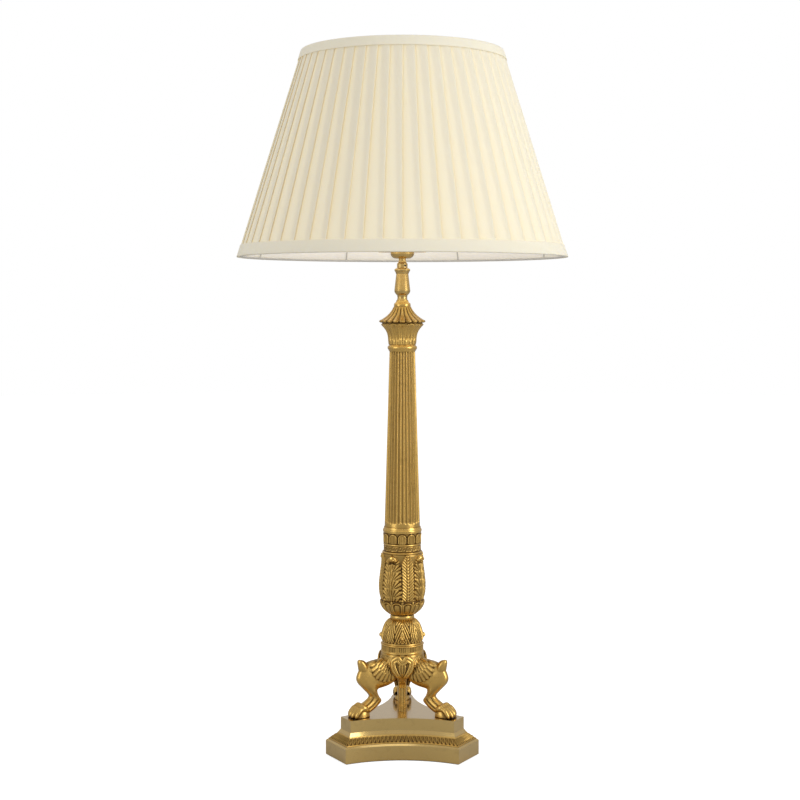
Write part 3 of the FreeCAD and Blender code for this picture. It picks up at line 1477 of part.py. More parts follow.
def check_and_write():
    doc.recompute()
    for thing in doc.Objects:
        if {"Invalid", "Error"} & set(thing.State):
            raise RuntimeError(f"{thing.Label}: {thing.State}")
    for piece in PIECES:
        if piece.Shape.isNull() or not piece.Shape.isValid() or not piece.Shape.Solids:
            raise RuntimeError(f"{piece.Label}: bad shape")
    os.makedirs("parts", exist_ok=True)
    for piece in PIECES:
        piece.Shape.exportStep(f"parts/{piece.Label}.step")
        print(piece.Label, round(piece.Shape.Volume), len(piece.Shape.Solids))


build_all()
check_and_write()
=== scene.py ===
# %% [markdown]
# # A column table lamp: brass on three animal legs, under a pleated shade
# The real lamp is a stack of cast and turned brass pieces that one threaded tube clamps together. Each piece
# was first built as a solid, and those solids are the frame of this scene. The solids could simply be shown
# with a better finish, and the plain turned ones are. The leafy castings and the cloth are modelled again
# here, each in the place of its solid, because their relief is what the eye reads on such a lamp.

import json
import math

import bmesh
import bpy
import numpy as np
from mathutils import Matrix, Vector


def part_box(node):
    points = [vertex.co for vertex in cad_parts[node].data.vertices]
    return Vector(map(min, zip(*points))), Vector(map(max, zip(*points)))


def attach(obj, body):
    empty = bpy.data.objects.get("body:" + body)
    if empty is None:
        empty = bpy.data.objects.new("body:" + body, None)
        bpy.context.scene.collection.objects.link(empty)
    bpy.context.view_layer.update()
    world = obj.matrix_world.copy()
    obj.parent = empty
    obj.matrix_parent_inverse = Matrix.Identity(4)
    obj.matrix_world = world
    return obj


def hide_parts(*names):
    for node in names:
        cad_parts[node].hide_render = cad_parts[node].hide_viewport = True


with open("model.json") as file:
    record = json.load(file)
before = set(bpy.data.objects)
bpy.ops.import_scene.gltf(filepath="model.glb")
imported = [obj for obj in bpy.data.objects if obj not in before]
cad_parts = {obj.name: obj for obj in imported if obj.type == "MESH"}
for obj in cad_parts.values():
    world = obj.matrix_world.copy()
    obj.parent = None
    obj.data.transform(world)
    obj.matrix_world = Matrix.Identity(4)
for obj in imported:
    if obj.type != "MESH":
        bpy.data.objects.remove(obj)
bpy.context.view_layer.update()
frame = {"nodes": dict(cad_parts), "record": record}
nodes = frame["nodes"]
MM = 0.001


# %% Where a solid is
def levels(solid):
    """The lowest and the highest level of a solid, in mm over the table."""
    low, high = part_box(solid)
    return low.z / MM, high.z / MM


# %% [markdown]
# ## Camera, floor and light
# The lamp was photographed from a little above its middle, a little over two metres away, with a short
# telephoto lens that dips by three and a half degrees. A camera could be placed by eye. Here its distance,
# height and dip come from a pinhole fitted to the ellipses of the shade and the base, so every level falls
# where it does in the photograph.

# %% Camera
CAMERA_BACK = 2170.74
CAMERA_HEIGHT = 624.69
CAMERA_SIDE = -3.2
CAMERA_DIP = 3.4536
FILM_WIDTH = 36.0
FOCAL_LENGTH = 70.28

lens = bpy.data.cameras.new("studio_camera")
lens.sensor_width = FILM_WIDTH
lens.lens = FOCAL_LENGTH
camera = bpy.data.objects.new("studio_camera", lens)
camera.location = (CAMERA_SIDE * MM, -CAMERA_BACK * MM, CAMERA_HEIGHT * MM)
camera.rotation_euler = (math.radians(90 - CAMERA_DIP), 0, 0)
bpy.context.scene.collection.objects.link(camera)
bpy.context.scene.camera = camera
bpy.context.scene.view_settings.view_transform = "Standard"
print("camera:", tuple(round(x, 3) for x in camera.location))

# %% [markdown]
# The table is a round white sheet, large enough to run out of sight. Polished brass shows what stands round
# it, so the light matters more than on cloth: a wide soft light from the right, a weaker one from the left
# and one from above leave darker strips between them, and those strips draw the mouldings. The sheet glows
# for the camera alone. A brighter sheet would do the same, but it would also light the lamp from below.

# %% A new finish
def dial(node, **settings):
    """Sets a node's inputs, whose names are written with _ for a space."""
    for name, value in settings.items():
        node.inputs[name.replace("_", " ")].default_value = value


def new_finish(name, metallic=0.0, roughness=0.5):
    finish = bpy.data.materials.new(name)
    finish.use_nodes = True
    tree = finish.node_tree
    shader = tree.nodes["Principled BSDF"]
    dial(shader, Metallic=metallic, Roughness=roughness)
    return finish, tree, shader


# %% Floor
FLOOR_REACH = 9.0
SHEET_GREY = 0.55
SHEET_GLOW = 0.82

floor_shape = bmesh.new()
bmesh.ops.create_circle(floor_shape, cap_ends=True, segments=96, radius=FLOOR_REACH)
floor_mesh = bpy.data.meshes.new("white_table")
floor_shape.to_mesh(floor_mesh)
floor_shape.free()
floor = bpy.data.objects.new("white_table", floor_mesh)
white_sheet, sheet_tree, sheet_shader = new_finish("white_sheet", 0.0, 0.7)
dial(sheet_shader, Base_Color=(SHEET_GREY, SHEET_GREY, SHEET_GREY, 1), Emission_Color=(1, 1, 1, 1))
to_camera = sheet_tree.nodes.new("ShaderNodeLightPath")
glow = sheet_tree.nodes.new("ShaderNodeMath")
glow.operation = "MULTIPLY"
glow.inputs[1].default_value = SHEET_GLOW
sheet_tree.links.new(to_camera.outputs["Is Camera Ray"], glow.inputs[0])
sheet_tree.links.new(glow.outputs[0], sheet_shader.inputs["Emission Strength"])
floor.data.materials.append(white_sheet)
bpy.context.scene.collection.objects.link(floor)
print("table reaches", FLOOR_REACH, "m")


# %% Lights
def soft_light(name, place, aim, wide, tall, power):
    """An area light in metres and watts, turned towards its aim."""
    lamp = bpy.data.lights.new(name, "AREA")
    lamp.shape = "RECTANGLE"
    lamp.size, lamp.size_y, lamp.energy = wide, tall, power
    thing = bpy.data.objects.new(name, lamp)
    thing.location = place
    way = np.array(aim) - np.array(place)
    flat = math.hypot(way[0], way[1])
    thing.rotation_euler = (math.atan2(flat, -way[2]), 0, math.atan2(-way[0], way[1]))
    bpy.context.scene.collection.objects.link(thing)
    print(f"{name}: {power} W")


soft_light("right_light", (2.3, -1.3, 1.4), (0, 0, 0.5), wide=1.3, tall=2.4, power=34)
soft_light("left_light", (-2.2, -1.5, 1.0), (0, 0, 0.45), wide=1.3, tall=2.2, power=12)
soft_light("top_light", (0.2, -0.3, 3.0), (0, 0, 0.4), wide=1.6, tall=1.6, power=7)

# %% The white room
ROOM_LIGHT = (0.95, 0.93, 0.95, 1)
ROOM_STRENGTH = 0.57

world = bpy.data.worlds.new("white_room")
bpy.context.scene.world = world
world.use_nodes = True
room = world.node_tree
ambient = room.nodes["Background"]
dial(ambient, Color=ROOM_LIGHT, Strength=ROOM_STRENGTH)
behind = room.nodes.new("ShaderNodeBackground")
dial(behind, Color=(1, 1, 1, 1))
seen = room.nodes.new("ShaderNodeLightPath")
either = room.nodes.new("ShaderNodeMixShader")
room.links.new(seen.outputs["Is Camera Ray"], either.inputs["Fac"])
room.links.new(ambient.outputs[0], either.inputs[1])
room.links.new(behind.outputs[0], either.inputs[2])
room.links.new(either.outputs[0], room.nodes["World Output"].inputs["Surface"])

# %% [markdown]
# ## The finishes
# Antique brass is bright where hands and cloth rub it and brown where lacquer and tarnish settle, in the
# grounds between the leaves. A painted picture could carry that. Here each casting stores a number at every
# point, `recess`, from 0 on the crests to 1 in the grounds, and the finish reads it. A second, finer
# darkening
# is painted shade: it comes from how closed in a point is, and darkens the seams between the pieces as well.

# %% Mottling and sums
def mottle(tree, size, detail=3.0, stretch=(1, 1, 1)):
    """Noise from 0 to 1 with spots of about this size in millimetres."""
    place = tree.nodes.new("ShaderNodeTexCoord")
    scale = tree.nodes.new("ShaderNodeMapping")
    dial(scale, Scale=stretch)
    noise = tree.nodes.new("ShaderNodeTexNoise")
    dial(noise, Scale=1 / (size * MM), Detail=detail)
    tree.links.new(place.outputs["Object"], scale.inputs["Vector"])
    tree.links.new(scale.outputs["Vector"], noise.inputs["Vector"])
    return noise.outputs["Fac"]


def reckon(tree, first, kind, second, clamp=True):
    """One sum in a finish. Either side is a number or another node's output."""
    node = tree.nodes.new("ShaderNodeMath")
    node.operation = kind
    node.use_clamp = clamp
    for number, thing in enumerate((first, second)):
        if isinstance(thing, (int, float)):
            node.inputs[number].default_value = thing
        else:
            tree.links.new(thing, node.inputs[number])
    return node.outputs[0]


def above(tree, value, middle, strength, clamp=True):
    """How far a value lies above its middle, times a strength."""
    return reckon(tree, reckon(tree, value, "SUBTRACT", middle, clamp), "MULTIPLY", strength, clamp)


# %% Stored numbers, blends and bumps
def stored(tree, name):
    """A number or a place that each point of a piece carries."""
    node = tree.nodes.new("ShaderNodeAttribute")
    node.attribute_name = name
    return node.outputs


def tint(tree, shader, share, first, second):
    """Blends the finish's colour from the first to the second by a share."""
    mix = tree.nodes.new("ShaderNodeMix")
    mix.data_type = "RGBA"
    tree.links.new(share, mix.inputs["Factor"])
    mix.inputs["A"].default_value = (*first, 1)
    mix.inputs["B"].default_value = (*second, 1)
    tree.links.new(mix.outputs["Result"], shader.inputs["Base Color"])


def roughen(tree, shader, height, distance, strength):
    """Raises the surface by a height of up to this distance in mm."""
    bump = tree.nodes.new("ShaderNodeBump")
    dial(bump, Distance=distance * MM, Strength=strength)
    tree.links.new(height, bump.inputs["Height"])
    tree.links.new(bump.outputs["Normal"], shader.inputs["Normal"])


# %% Brass, bright on its crests and brown in its grounds
CLOUD, RUB, GRAIN = 9, 2.5, 0.9
CORNER_SHADE_REACH = 5


def brass(name, bright, brown, polish, corner_shade=0.6, lacquer=0.15):
    """Brass with clouds of tarnish, rubbed spots and a cast grain, whose sizes are named above in mm, and
    painted shade where it is closed in.
    """
    finish, tree, shader = new_finish(name, metallic=1.0)
    closed = tree.nodes.new("ShaderNodeAmbientOcclusion")
    closed.samples = 6
    dial(closed, Distance=CORNER_SHADE_REACH * MM)
    # Painted shade: the brass is darker where a point is closed in, in seams and corners.
    closed_in_shade = reckon(tree, 1.0, "SUBTRACT", closed.outputs["AO"])
    patina_and_shade = reckon(tree, stored(tree, "recess")["Fac"], "ADD", reckon(tree, closed_in_shade, "MULTIPLY", corner_shade))
    patina_and_shade = reckon(tree, patina_and_shade, "ADD", above(tree, mottle(tree, CLOUD), 0.55, 0.7))
    tint(tree, shader, patina_and_shade, bright, brown)
    dullness = reckon(tree, reckon(tree, patina_and_shade, "MULTIPLY", 0.3), "ADD", polish)
    rubbed = above(tree, mottle(tree, RUB), 0.5, 0.12, clamp=False)
    tree.links.new(reckon(tree, dullness, "ADD", rubbed), shader.inputs["Roughness"])
    roughen(tree, shader, mottle(tree, GRAIN), 0.05, 0.2)
    dial(shader, Coat_Weight=lacquer, Coat_Roughness=0.06)
    return finish


FINISH = {
    "antique_brass": brass("antique_brass", (0.78, 0.50, 0.135), (0.13, 0.068, 0.016), 0.26),
    "plinth_brass": brass("plinth_brass", (0.70, 0.49, 0.165), (0.17, 0.10, 0.035), 0.2,
                          corner_shade=0.45, lacquer=0.85),
    "fitting_brass": brass("fitting_brass", (0.68, 0.46, 0.155), (0.25, 0.15, 0.05), 0.26, corner_shade=0.3),
    "contact_brass": brass("contact_brass", (0.85, 0.66, 0.34), (0.3, 0.2, 0.08), 0.3, corner_shade=0.2),
}

# %% [markdown]
# The iron weight, the rubber bush, the steel nut, the moulded parts of the lampholder and the bulb are hidden
# by the shade or the foot, but they are seen from below and from above. Each has the grain its material has.

# %% Iron, steel, rubber, board and moulding
def grainy(name, colour, darker, grain, depth, metallic=0.0, roughness=0.5, stretch=(1, 1, 1)):
    """A plain material with grains of one size and depth, in mm, that are darker and a little duller."""
    finish, tree, shader = new_finish(name, metallic, roughness)
    spots = mottle(tree, grain, 4.0, stretch)
    tint(tree, shader, spots, colour, darker)
    roughen(tree, shader, spots, depth, 0.5)
    dullness = reckon(tree, reckon(tree, spots, "MULTIPLY", 0.2), "ADD", roughness - 0.1)
    tree.links.new(dullness, shader.inputs["Roughness"])
    FINISH[name] = finish


grainy("iron", (0.10, 0.10, 0.105), (0.04, 0.04, 0.042), 1.2, 0.25, metallic=0.7, roughness=0.6)
grainy("steel", (0.55, 0.56, 0.58), (0.36, 0.37, 0.39), 3, 0.03, metallic=1.0, roughness=0.32)
grainy("rubber", (0.022, 0.022, 0.023), (0.010, 0.010, 0.010), 1.5, 0.05, roughness=0.62)
grainy("liner_board", (0.36, 0.23, 0.12), (0.27, 0.16, 0.08), 2, 0.06, roughness=0.75, stretch=(1, 1, 0.2))
grainy("black_moulding", (0.018, 0.017, 0.016), (0.03, 0.026, 0.022), 4, 0.02, roughness=0.3)
grainy("bulb_cap_metal", (0.72, 0.71, 0.68), (0.5, 0.49, 0.46), 2, 0.04, metallic=1.0, roughness=0.3)
grainy("frame_wire", (0.80, 0.79, 0.75), (0.66, 0.64, 0.58), 5, 0.03, roughness=0.38)

# %% Opal glass
opal, opal_tree, opal_shader = new_finish("bulb_glass", 0.0, 0.2)
dial(opal_shader, Coat_Weight=0.6, Coat_Roughness=0.05)
tint(opal_tree, opal_shader, mottle(opal_tree, 30), (0.93, 0.92, 0.89), (0.88, 0.87, 0.84))
FINISH["bulb_glass"] = opal
print("finishes:", sorted(FINISH))

# %% [markdown]
# ## Cloth
# The cover is a cream cotton-silk, woven plainly, painted a little yellower and darker in its folds as
# painted shade. The weave is drawn along the cloth itself: each point of the cover stores how far along and
# how far up the cloth it lies, so the threads follow the pleats instead of cutting through them. A faint glow
# stands for the light that thin cloth lets through.

# %% Woven cloth
# A wave texture of scale 1 repeats after this length.
WAVE_PITCH = 0.314


def woven_cloth(name, colour, shade, thread, glow):
    """Cloth with threads of this pitch in mm, painted towards its shade colour in the folds as painted shade.
    """
    finish, tree, shader = new_finish(name, 0.0, 0.85)
    heights = []
    for direction in ("X", "Y"):
        threads = tree.nodes.new("ShaderNodeTexWave")
        threads.bands_direction = direction
        dial(threads, Scale=WAVE_PITCH / (thread * MM), Distortion=0.6)
        tree.links.new(stored(tree, "along_cloth")["Vector"], threads.inputs["Vector"])
        heights.append(threads.outputs["Fac"])
    weave = reckon(tree, heights[0], "MULTIPLY", heights[1])
    slub = above(tree, mottle(tree, 7, 4, (1, 1, 0.15)), 0.4, 0.16)
    # Painted shade: the stored recess turns the cloth towards its shade colour in the folds.
    tint(tree, shader, reckon(tree, stored(tree, "recess")["Fac"], "ADD", slub), colour, shade)
    dial(shader, Sheen_Weight=0.15, Sheen_Roughness=0.4)
    dial(shader, Subsurface_Weight=0.35, Subsurface_Radius=(1.0, 0.8, 0.5), Subsurface_Scale=3 * MM)
    dial(shader, Emission_Color=(1.0, 0.95, 0.85, 1), Emission_Strength=glow)
    roughen(tree, shader, weave, 0.12, 0.4)
    FINISH[name] = finish


woven_cloth("pleated_fabric", (0.97, 0.885, 0.63), (0.84, 0.69, 0.37), thread=0.7, glow=0.075)
woven_cloth("trim_fabric", (0.96, 0.885, 0.66), (0.84, 0.73, 0.47), thread=0.7, glow=0.065)
woven_cloth("lining_fabric", (0.88, 0.86, 0.82), (0.74, 0.72, 0.68), thread=0.9, glow=0.33)

# %% Felt
felt_finish, felt_tree, felt_shader = new_finish("felt", 0.0, 0.95)
fluff = mottle(felt_tree, 1.1, 6)
tint(felt_tree, felt_shader, fluff, (0.035, 0.030, 0.026), (0.075, 0.066, 0.056))
dial(felt_shader, Sheen_Weight=0.4)
roughen(felt_tree, felt_shader, fluff, 0.4, 0.8)
FINISH["felt"] = felt_finish
print("finishes:", len(FINISH))

# %% [markdown]
# ## From a bmesh to a piece
# Every new piece ends the same way: its faces are turned outwards, it takes its finish, rides on its body and
# stands for its solid. Two kinds of shape cover nearly all of them. A turned casting starts as an outline
# that is spun about the lamp's axis, and a woven one starts as a flat grid that is wrapped into place.

# %% Finish a piece
def stand(name, shape, slot, body, solid):
    """Closes a bmesh into a piece with its finish and body, in the place of its solid."""
    bmesh.ops.recalc_face_normals(shape, faces=shape.faces)
    mesh = bpy.data.meshes.new(name)
    shape.to_mesh(mesh)
    shape.free()
    mesh.shade_smooth()
    piece = bpy.data.objects.new(name, mesh)
    bpy.context.scene.collection.objects.link(piece)
    mesh.materials.append(FINISH[slot])
    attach(piece, body)
    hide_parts(solid)
    print(f"{name}: {len(mesh.polygons)} faces")
    return piece


def thicken(piece, thickness):
    """Gives a sheet its thickness in mm, half to each side."""
    wall = piece.modifiers.new("cloth_thickness", "SOLIDIFY")
    wall.thickness = thickness * MM
    wall.offset = 0
    return piece


# %% Smooth outlines
def curve(points, fine=6):
    """Points on a smooth line through these, with a corner wherever one is given twice."""
    rows = [np.array(p, float) for p in points]
    line = [rows[0]]
    for start, end, number in zip(rows, rows[1:], range(len(rows))):
        if np.allclose(start, end):
            continue
        before = 2 * start - end
        if number and not np.allclose(rows[number - 1], start):
            before = rows[number - 1]
        after = 2 * end - start
        if number + 2 < len(rows) and not np.allclose(rows[number + 2], end):
            after = rows[number + 2]
        for step in range(1, fine + 1):
            t = step / fine
            bend = (2 * before - 5 * start + 4 * end - after) * t**2
            bend = bend + (3 * start - before - 3 * end + after) * t**3
            line.append(start + 0.5 * ((end - before) * t + bend))
    return line


def gone_along(line):
    """How far each point of a line is along it."""
    return np.concatenate([[0], np.cumsum(np.hypot(*np.diff(np.array(line), axis=0).T))])


# %% Turned castings with relief
ROD_BORE = 5.4


def turned(name, solid, outline, steps, rule, bore=ROD_BORE):
    """Spins an outline of radius and height, in mm over its solid's foot, and carves it. The rule takes the
    azimuth from the front, the height and the radius, and gives how far points move out and how recessed."""
    foot = levels(solid)[0]
    shape = bmesh.new()
    closed = list(outline) + [(bore, outline[-1][1]), (bore, outline[0][1])]
    verts = [shape.verts.new((r * MM, 0, (foot + z) * MM)) for r, z in closed]
    edges = [shape.edges.new(pair) for pair in zip(verts, verts[1:] + verts[:1])]
    bmesh.ops.spin(shape, geom=verts + edges, cent=(0, 0, 0), axis=(0, 0, 1), angle=2 * math.pi,
                   steps=steps, use_merge=True)
    bmesh.ops.remove_doubles(shape, verts=shape.verts, dist=0.0005 * MM)
    x, y, z = np.array([vert.co for vert in shape.verts]).T / MM
    reach = np.hypot(x, y)
    out, recess = rule(np.arctan2(x, -y), z - foot, reach)
    outer = reach > bore + 1
    grown = (reach + np.where(outer, out, 0)) / reach
    # Points near the bore, inside the piece, are painted fully dark, as painted shade.
    recess = np.clip(np.where(outer, recess, 1), 0, 1)
    layer = shape.verts.layers.float.new("recess")
    for vert, grow, dark in zip(shape.verts, grown.tolist(), recess.tolist()):
        vert.co = (vert.co.x * grow, vert.co.y * grow, vert.co.z)
        vert[layer] = dark
    return stand(name, shape, "antique_brass", "lamp", solid)


# %% Woven shapes: a grid of cells wrapped into place
CLOTH_ROUND = 1.4


def woven(name, across, along, place, slot, body, solid):
    """A grid of cells whose points are put in place, in mm, by a rule on their shares across and along, which
    also gives their recess. Edges that meet are closed."""
    shape = bmesh.new()
    bmesh.ops.create_grid(shape, x_segments=across, y_segments=along, size=0.5)
    flat = np.array([vert.co for vert in shape.verts]) + 0.5
    moved, recess = place(flat[:, 0], flat[:, 1])
    layer = shape.verts.layers.float.new("recess")
    cloth = shape.verts.layers.float_vector.new("along_cloth")
    for vert, spot, dark in zip(shape.verts, (moved * MM).tolist(), np.clip(recess, 0, 1).tolist()):
        vert[cloth] = (vert.co.x * CLOTH_ROUND, vert.co.y * CLOTH_ROUND * along / across, 0)
        vert.co = spot
        vert[layer] = dark
    bmesh.ops.remove_doubles(shape, verts=shape.verts, dist=0.002 * MM)
    return stand(name, shape, slot, body, solid)


# %% Places on a line, and places round the lamp
def along_route(route, share):
    """The rows of a route at these shares of its length, a column for each of a row's numbers."""
    row = np.clip(np.round(share * (len(route) - 1)).astype(int), 0, len(route) - 1)
    return np.array(route)[row].T


def round_the_lamp(angle, reach, height):
    """Places at these angles from the front, distances from the axis and heights."""
    return np.column_stack([reach * np.sin(angle), -reach * np.cos(angle), height])


# %% [markdown]
# Carved ornament repeats: reeds, petals, flutes and leaves. Each relief below is worked out from where a
# point lies within its own repeat, from -1 at one side to 1 at the other, and from how far up it lies.

# %% Repeats and soft steps
def repeat(azimuth, count, first=0.0):
    """Place within each of count equal parts of the round, from -1 to 1, with one middle at first degrees."""
    pitch = 2 * math.pi / count
    return ((azimuth - math.radians(first) + pitch / 2) % pitch) / pitch * 2 - 1


def repeat_mm(azimuth, count, reach, first=0.0):
    """The same place in mm from the middle of its part, at this reach from the axis."""
    return repeat(azimuth, count, first) * math.pi * reach / count


def within_step(x):
    """Place within each step of one, from -1 to 1."""
    return 2 * (x - np.floor(x)) - 1


def step_up(x, low, high):
    """0 below low and 1 above high, with a soft rise between."""
    t = np.clip((x - low) / (high - low), 0, 1)
    return t * t * (3 - 2 * t)


# %% Rounds, humps and layers
def hump(x, middle, width, power=2):
    """1 at the middle, a third at the width on each side, and soon nothing beyond."""
    return np.exp(-(((x - middle) / width) ** power))


def rounded(x, y=0):
    """Height of a half circle over -1 to 1, or of a half ball over both."""
    return np.sqrt(np.clip(1 - x * x - y * y, 0, 1))


def boxier(x, power):
    """A cosine or a sine with flatter tops, for ovals with fuller corners."""
    return np.sign(x) * np.abs(x) ** power


def lay_over(*heights):
    """Of several reliefs the higher one shows."""
    return np.maximum.reduce(heights)


# %% [markdown]
# ## The shade
# The cover is a straight strip of cloth, folded into 56 knife pleats that are pressed deeper at the top than
# at the bottom, because the shade is narrower there. Each pleat shows one face, turns under at its edge, runs
# back behind itself and forward again to the next face. A zigzag would look much the same from afar, but only
# the true fold gives each edge its soft roll and thin shadow, and the strip keeps its real length.

# %% The shade's cone
PLEATS = 56
CLOTH_PER_PLEAT = 40.0
SHADE_LOW, SHADE_HIGH = levels("shade_cover")
SHADE_TALL = SHADE_HIGH - SHADE_LOW
SHADE_FOOT_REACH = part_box("shade_bottom_trim")[1].x / MM
SHADE_HEAD_REACH = 139.7
SLANT = math.hypot(SHADE_TALL, SHADE_FOOT_REACH - SHADE_HEAD_REACH)


def shade_reach(up):
    """Outer radius of the shade, in mm, at a share of its height."""
    return SHADE_FOOT_REACH + (SHADE_HEAD_REACH - SHADE_FOOT_REACH) * up


print("shade in mm:", round(SHADE_TALL, 1), "tall,", round(SLANT, 1), "along its slope")

# %% One knife pleat, across
TURNS_TAKE = 1.7


def pleat_path(pitch):
    """Places across and depths of the cloth through one pleat, in mm, for faces of this width."""
    under = (CLOTH_PER_PLEAT - TURNS_TAKE - pitch) / 2
    back = pitch - under
    face = [(0, 1.45), (0.12, 1.12), (0.3, 0.72), (0.5, 0.4), (0.7, 0.16), (0.88, 0.02), (0.975, 0.02)]
    turn = [(pitch + 0.25, 0.2), (pitch + 0.28, 0.5), (pitch - 0.1, 0.72)]
    behind = [(back + under * 0.6, 1.0), (back + under * 0.2, 1.42), (back - 0.25, 1.72), (back, 2.0)]
    forward = [(back + under * 0.4, 1.95), (back + under * 0.8, 1.7)]
    return np.array([(share * pitch, depth) for share, depth in face] + turn + behind + forward)


POINTS_PER_PLEAT = len(pleat_path(20.0))
# Only the path's first points can be seen. They are painted darker towards the folds on both sides, as
# painted shade, and the hidden points darker still.
VISIBLE_POINTS = 10
BILLOWING_POINTS = range(2, 8)
FACE_FOLD_SHADE = (0.6, 0.25, 0.08, 0.02, 0, 0, 0.08, 0.3)
HIDDEN_FOLD_SHADE = 0.8
print("points through one pleat:", POINTS_PER_PLEAT)

# %% How hand-made pleats stray
LEAN_SPREAD = 0.035
BILLOW_SPREAD = 0.10

chance = np.random.default_rng(5)
lean = chance.normal(0, LEAN_SPREAD, PLEATS)
billow = chance.normal(0, BILLOW_SPREAD, (PLEATS, 3))


def stray(pleat, place, up, pitch):
    """How far, in mm, one point of a pleat lies to the side and out of its true place."""
    bow = math.sin(math.pi * up)
    sideways = lean[pleat] * pitch * min(place / 5, 1) * bow if place < VISIBLE_POINTS else 0
    outwards = billow[pleat, 0] * math.sin(3.1 * up + billow[pleat, 1] * 9) * bow
    return sideways, outwards if place in BILLOWING_POINTS else 0


# %% The pleated cover
TRIM = 1.25
ROWS_UP_THE_SHADE = 28
COVER_THICKNESS = 0.22

cover_shape = bmesh.new()
columns = PLEATS * POINTS_PER_PLEAT
bmesh.ops.create_grid(cover_shape, x_segments=columns, y_segments=ROWS_UP_THE_SHADE, size=0.5)
cover_cloth = cover_shape.verts.layers.float_vector.new("along_cloth")
cover_fold_shade = cover_shape.verts.layers.float.new("recess")
for vert in cover_shape.verts:
    up = vert.co.y + 0.5
    reach = shade_reach(up) - TRIM
    pitch = 2 * math.pi * reach / PLEATS
    pleat, place = divmod(round((vert.co.x + 0.5) * columns), POINTS_PER_PLEAT)
    pleat %= PLEATS
    across, depth = pleat_path(pitch)[place]
    sideways, outwards = stray(pleat, place, up, pitch)
    angle = (pleat * pitch + across + sideways) / reach
    out = reach - depth + outwards
    height = SHADE_LOW + up * SHADE_TALL
    vert.co = (out * math.sin(angle) * MM, -out * math.cos(angle) * MM, height * MM)
    vert[cover_cloth] = (pleat * CLOTH_PER_PLEAT * MM + across * MM, up * SLANT * MM, 0)
    vert[cover_fold_shade] = FACE_FOLD_SHADE[place] if place < len(FACE_FOLD_SHADE) else HIDDEN_FOLD_SHADE
bmesh.ops.remove_doubles(cover_shape, verts=cover_shape.verts, dist=0.01 * MM)
cover = stand("pleated_cover", cover_shape, "pleated_fabric", "shade", "shade_cover")
thicken(cover, COVER_THICKNESS)

# %% [markdown]
# A plain band of the same cloth is glued over each edge. It takes a faint print of the pleats beneath it, so
# it isn't a perfect cone. The lining is a paler, smoother cloth, cut as a ring's sector and stretched inside
# the frame. All three are real sheets.

# %% Bands over the two edges
BAND_THICKNESS = 0.4
PLEAT_PRINT = 0.16


def edge_band(name, solid, at_foot):
    """A strip that starts on the cover, turns over the shade's edge and ends inside the lining."""
    low, high = levels(solid)
    tall = round(high - low, 3)
    side = 1 if at_foot else -1
    # depth inside the shade's cone and distance from its edge
    route = curve([(0.9, tall), (0.35, tall - 0.3), (0.3, tall - 2), (0.3, tall - 2), (0.3, 1.2),
                   (0.55, 0.45), (1.5, 0.3), (3.6, 0.3), (4.45, 0.5), (4.7, 1.6)], 3)

    def place(round_share, strip_share):
        depth, over = along_route(route, strip_share)
        height = (0 if at_foot else SHADE_TALL) + side * over
        angle = round_share * 2 * math.pi
        print_of_pleats = PLEAT_PRINT * np.abs(repeat(angle, PLEATS)) * (depth < 0.5) * step_up(over, 2, 6)
        reach = shade_reach(height / SHADE_TALL) - depth - print_of_pleats
        # Painted shade: darker along the band's free edge on the cover and on its part inside the shade.
        recess = 0.25 * hump(over, tall, 1.0) + 0.2 * (depth > 1)
        return round_the_lamp(angle, reach, SHADE_LOW + height), recess

    band = woven(name, PLEATS * 6, len(route) - 1, place, "trim_fabric", "shade", solid)
    return thicken(band, BAND_THICKNESS)


foot_band = edge_band("foot_band", "shade_bottom_trim", at_foot=True)
head_band = edge_band("head_band", "shade_top_trim", at_foot=False)

# %% Lining
LINING_DEPTH = 4.2
LINING_THICKNESS = 0.3
LINING_MARGIN = 0.8
SAG = 0.15
SAGS = 16


def stretched_lining(round_share, up):
    angle = round_share * 2 * math.pi
    reach = shade_reach(up) - LINING_DEPTH - SAG * np.cos(angle * SAGS / 2) ** 2
    height = SHADE_LOW + LINING_MARGIN + up * (SHADE_TALL - 2 * LINING_MARGIN)
    # Painted shade: the lining is darker at its top and bottom edges, where the bands and rings meet it.
    return round_the_lamp(angle, reach, height), 0.3 * hump(up, 0, 0.03) + 0.3 * hump(up, 1, 0.03)


lining = woven("lining", 192, 16, stretched_lining, "lining_fabric", "shade", "shade_lining")
thicken(lining, LINING_THICKNESS)

# %% [markdown]
# ## Carved leaves
# Acanthus, palm and water leaves cover this lamp. Each could be sculpted, but the castings repeat a few
# shapes, so one rule makes the acanthus: a spray, which is a fan of rounded fingers from one point. Sprays in
# pairs up a rib make a leaf. A rule only gives a height, so where leaves cross the higher one wins, as it
# does in a casting.

# %% A spray of fingers
GROOVE_HALF = 0.17
GROOVE_DEPTH = 0.3


def spray(side, along, start, reach, lean, spread, fingers, droop=0.3, blunt=2.4):
    """Height of a fan of fingers, from 0 to 1. Places are in mm; lean and spread are degrees from straight
    along. The outer fingers are shorter by droop, and each finger's corners by blunt."""
    far = np.hypot(side - start[0], along - start[1])
    turn = (np.degrees(np.arctan2(side - start[0], along - start[1])) - lean) / spread + 0.5
    number = np.clip(np.floor(turn * fingers), 0, fingers - 1)
    inside = 2 * (turn * fingers - number) - 1
    middle = 2 * (number + 0.5) / fingers - 1
    tip = reach * (1 - droop * middle**2) - blunt * inside**2
    body = (1 - step_up(far, tip - 0.9, tip)) * (np.abs(inside) < 1)
    ridge = np.clip(1 - inside**2, 0, 1) ** 0.85
    groove = hump(inside, 0, GROOVE_HALF) * GROOVE_DEPTH
    return body * (0.05 + 0.95 * ridge - groove) * (0.6 + 0.4 * np.clip(far / reach, 0, 1))


# %% [markdown]
# ## The hub, the reeded ring and the domed knop
# Three castings carry the vase above the legs. The hub is a smooth flare that runs into the thighs under a
# faint row of leaves, the ring has fine reeds under a plain bead, and the knop is wrapped in long slanting
# leaves whose tips curl out on four sides.

# %% Hub
HUB_LEAVES = 12
HUB_LEAF_HEAD = 15


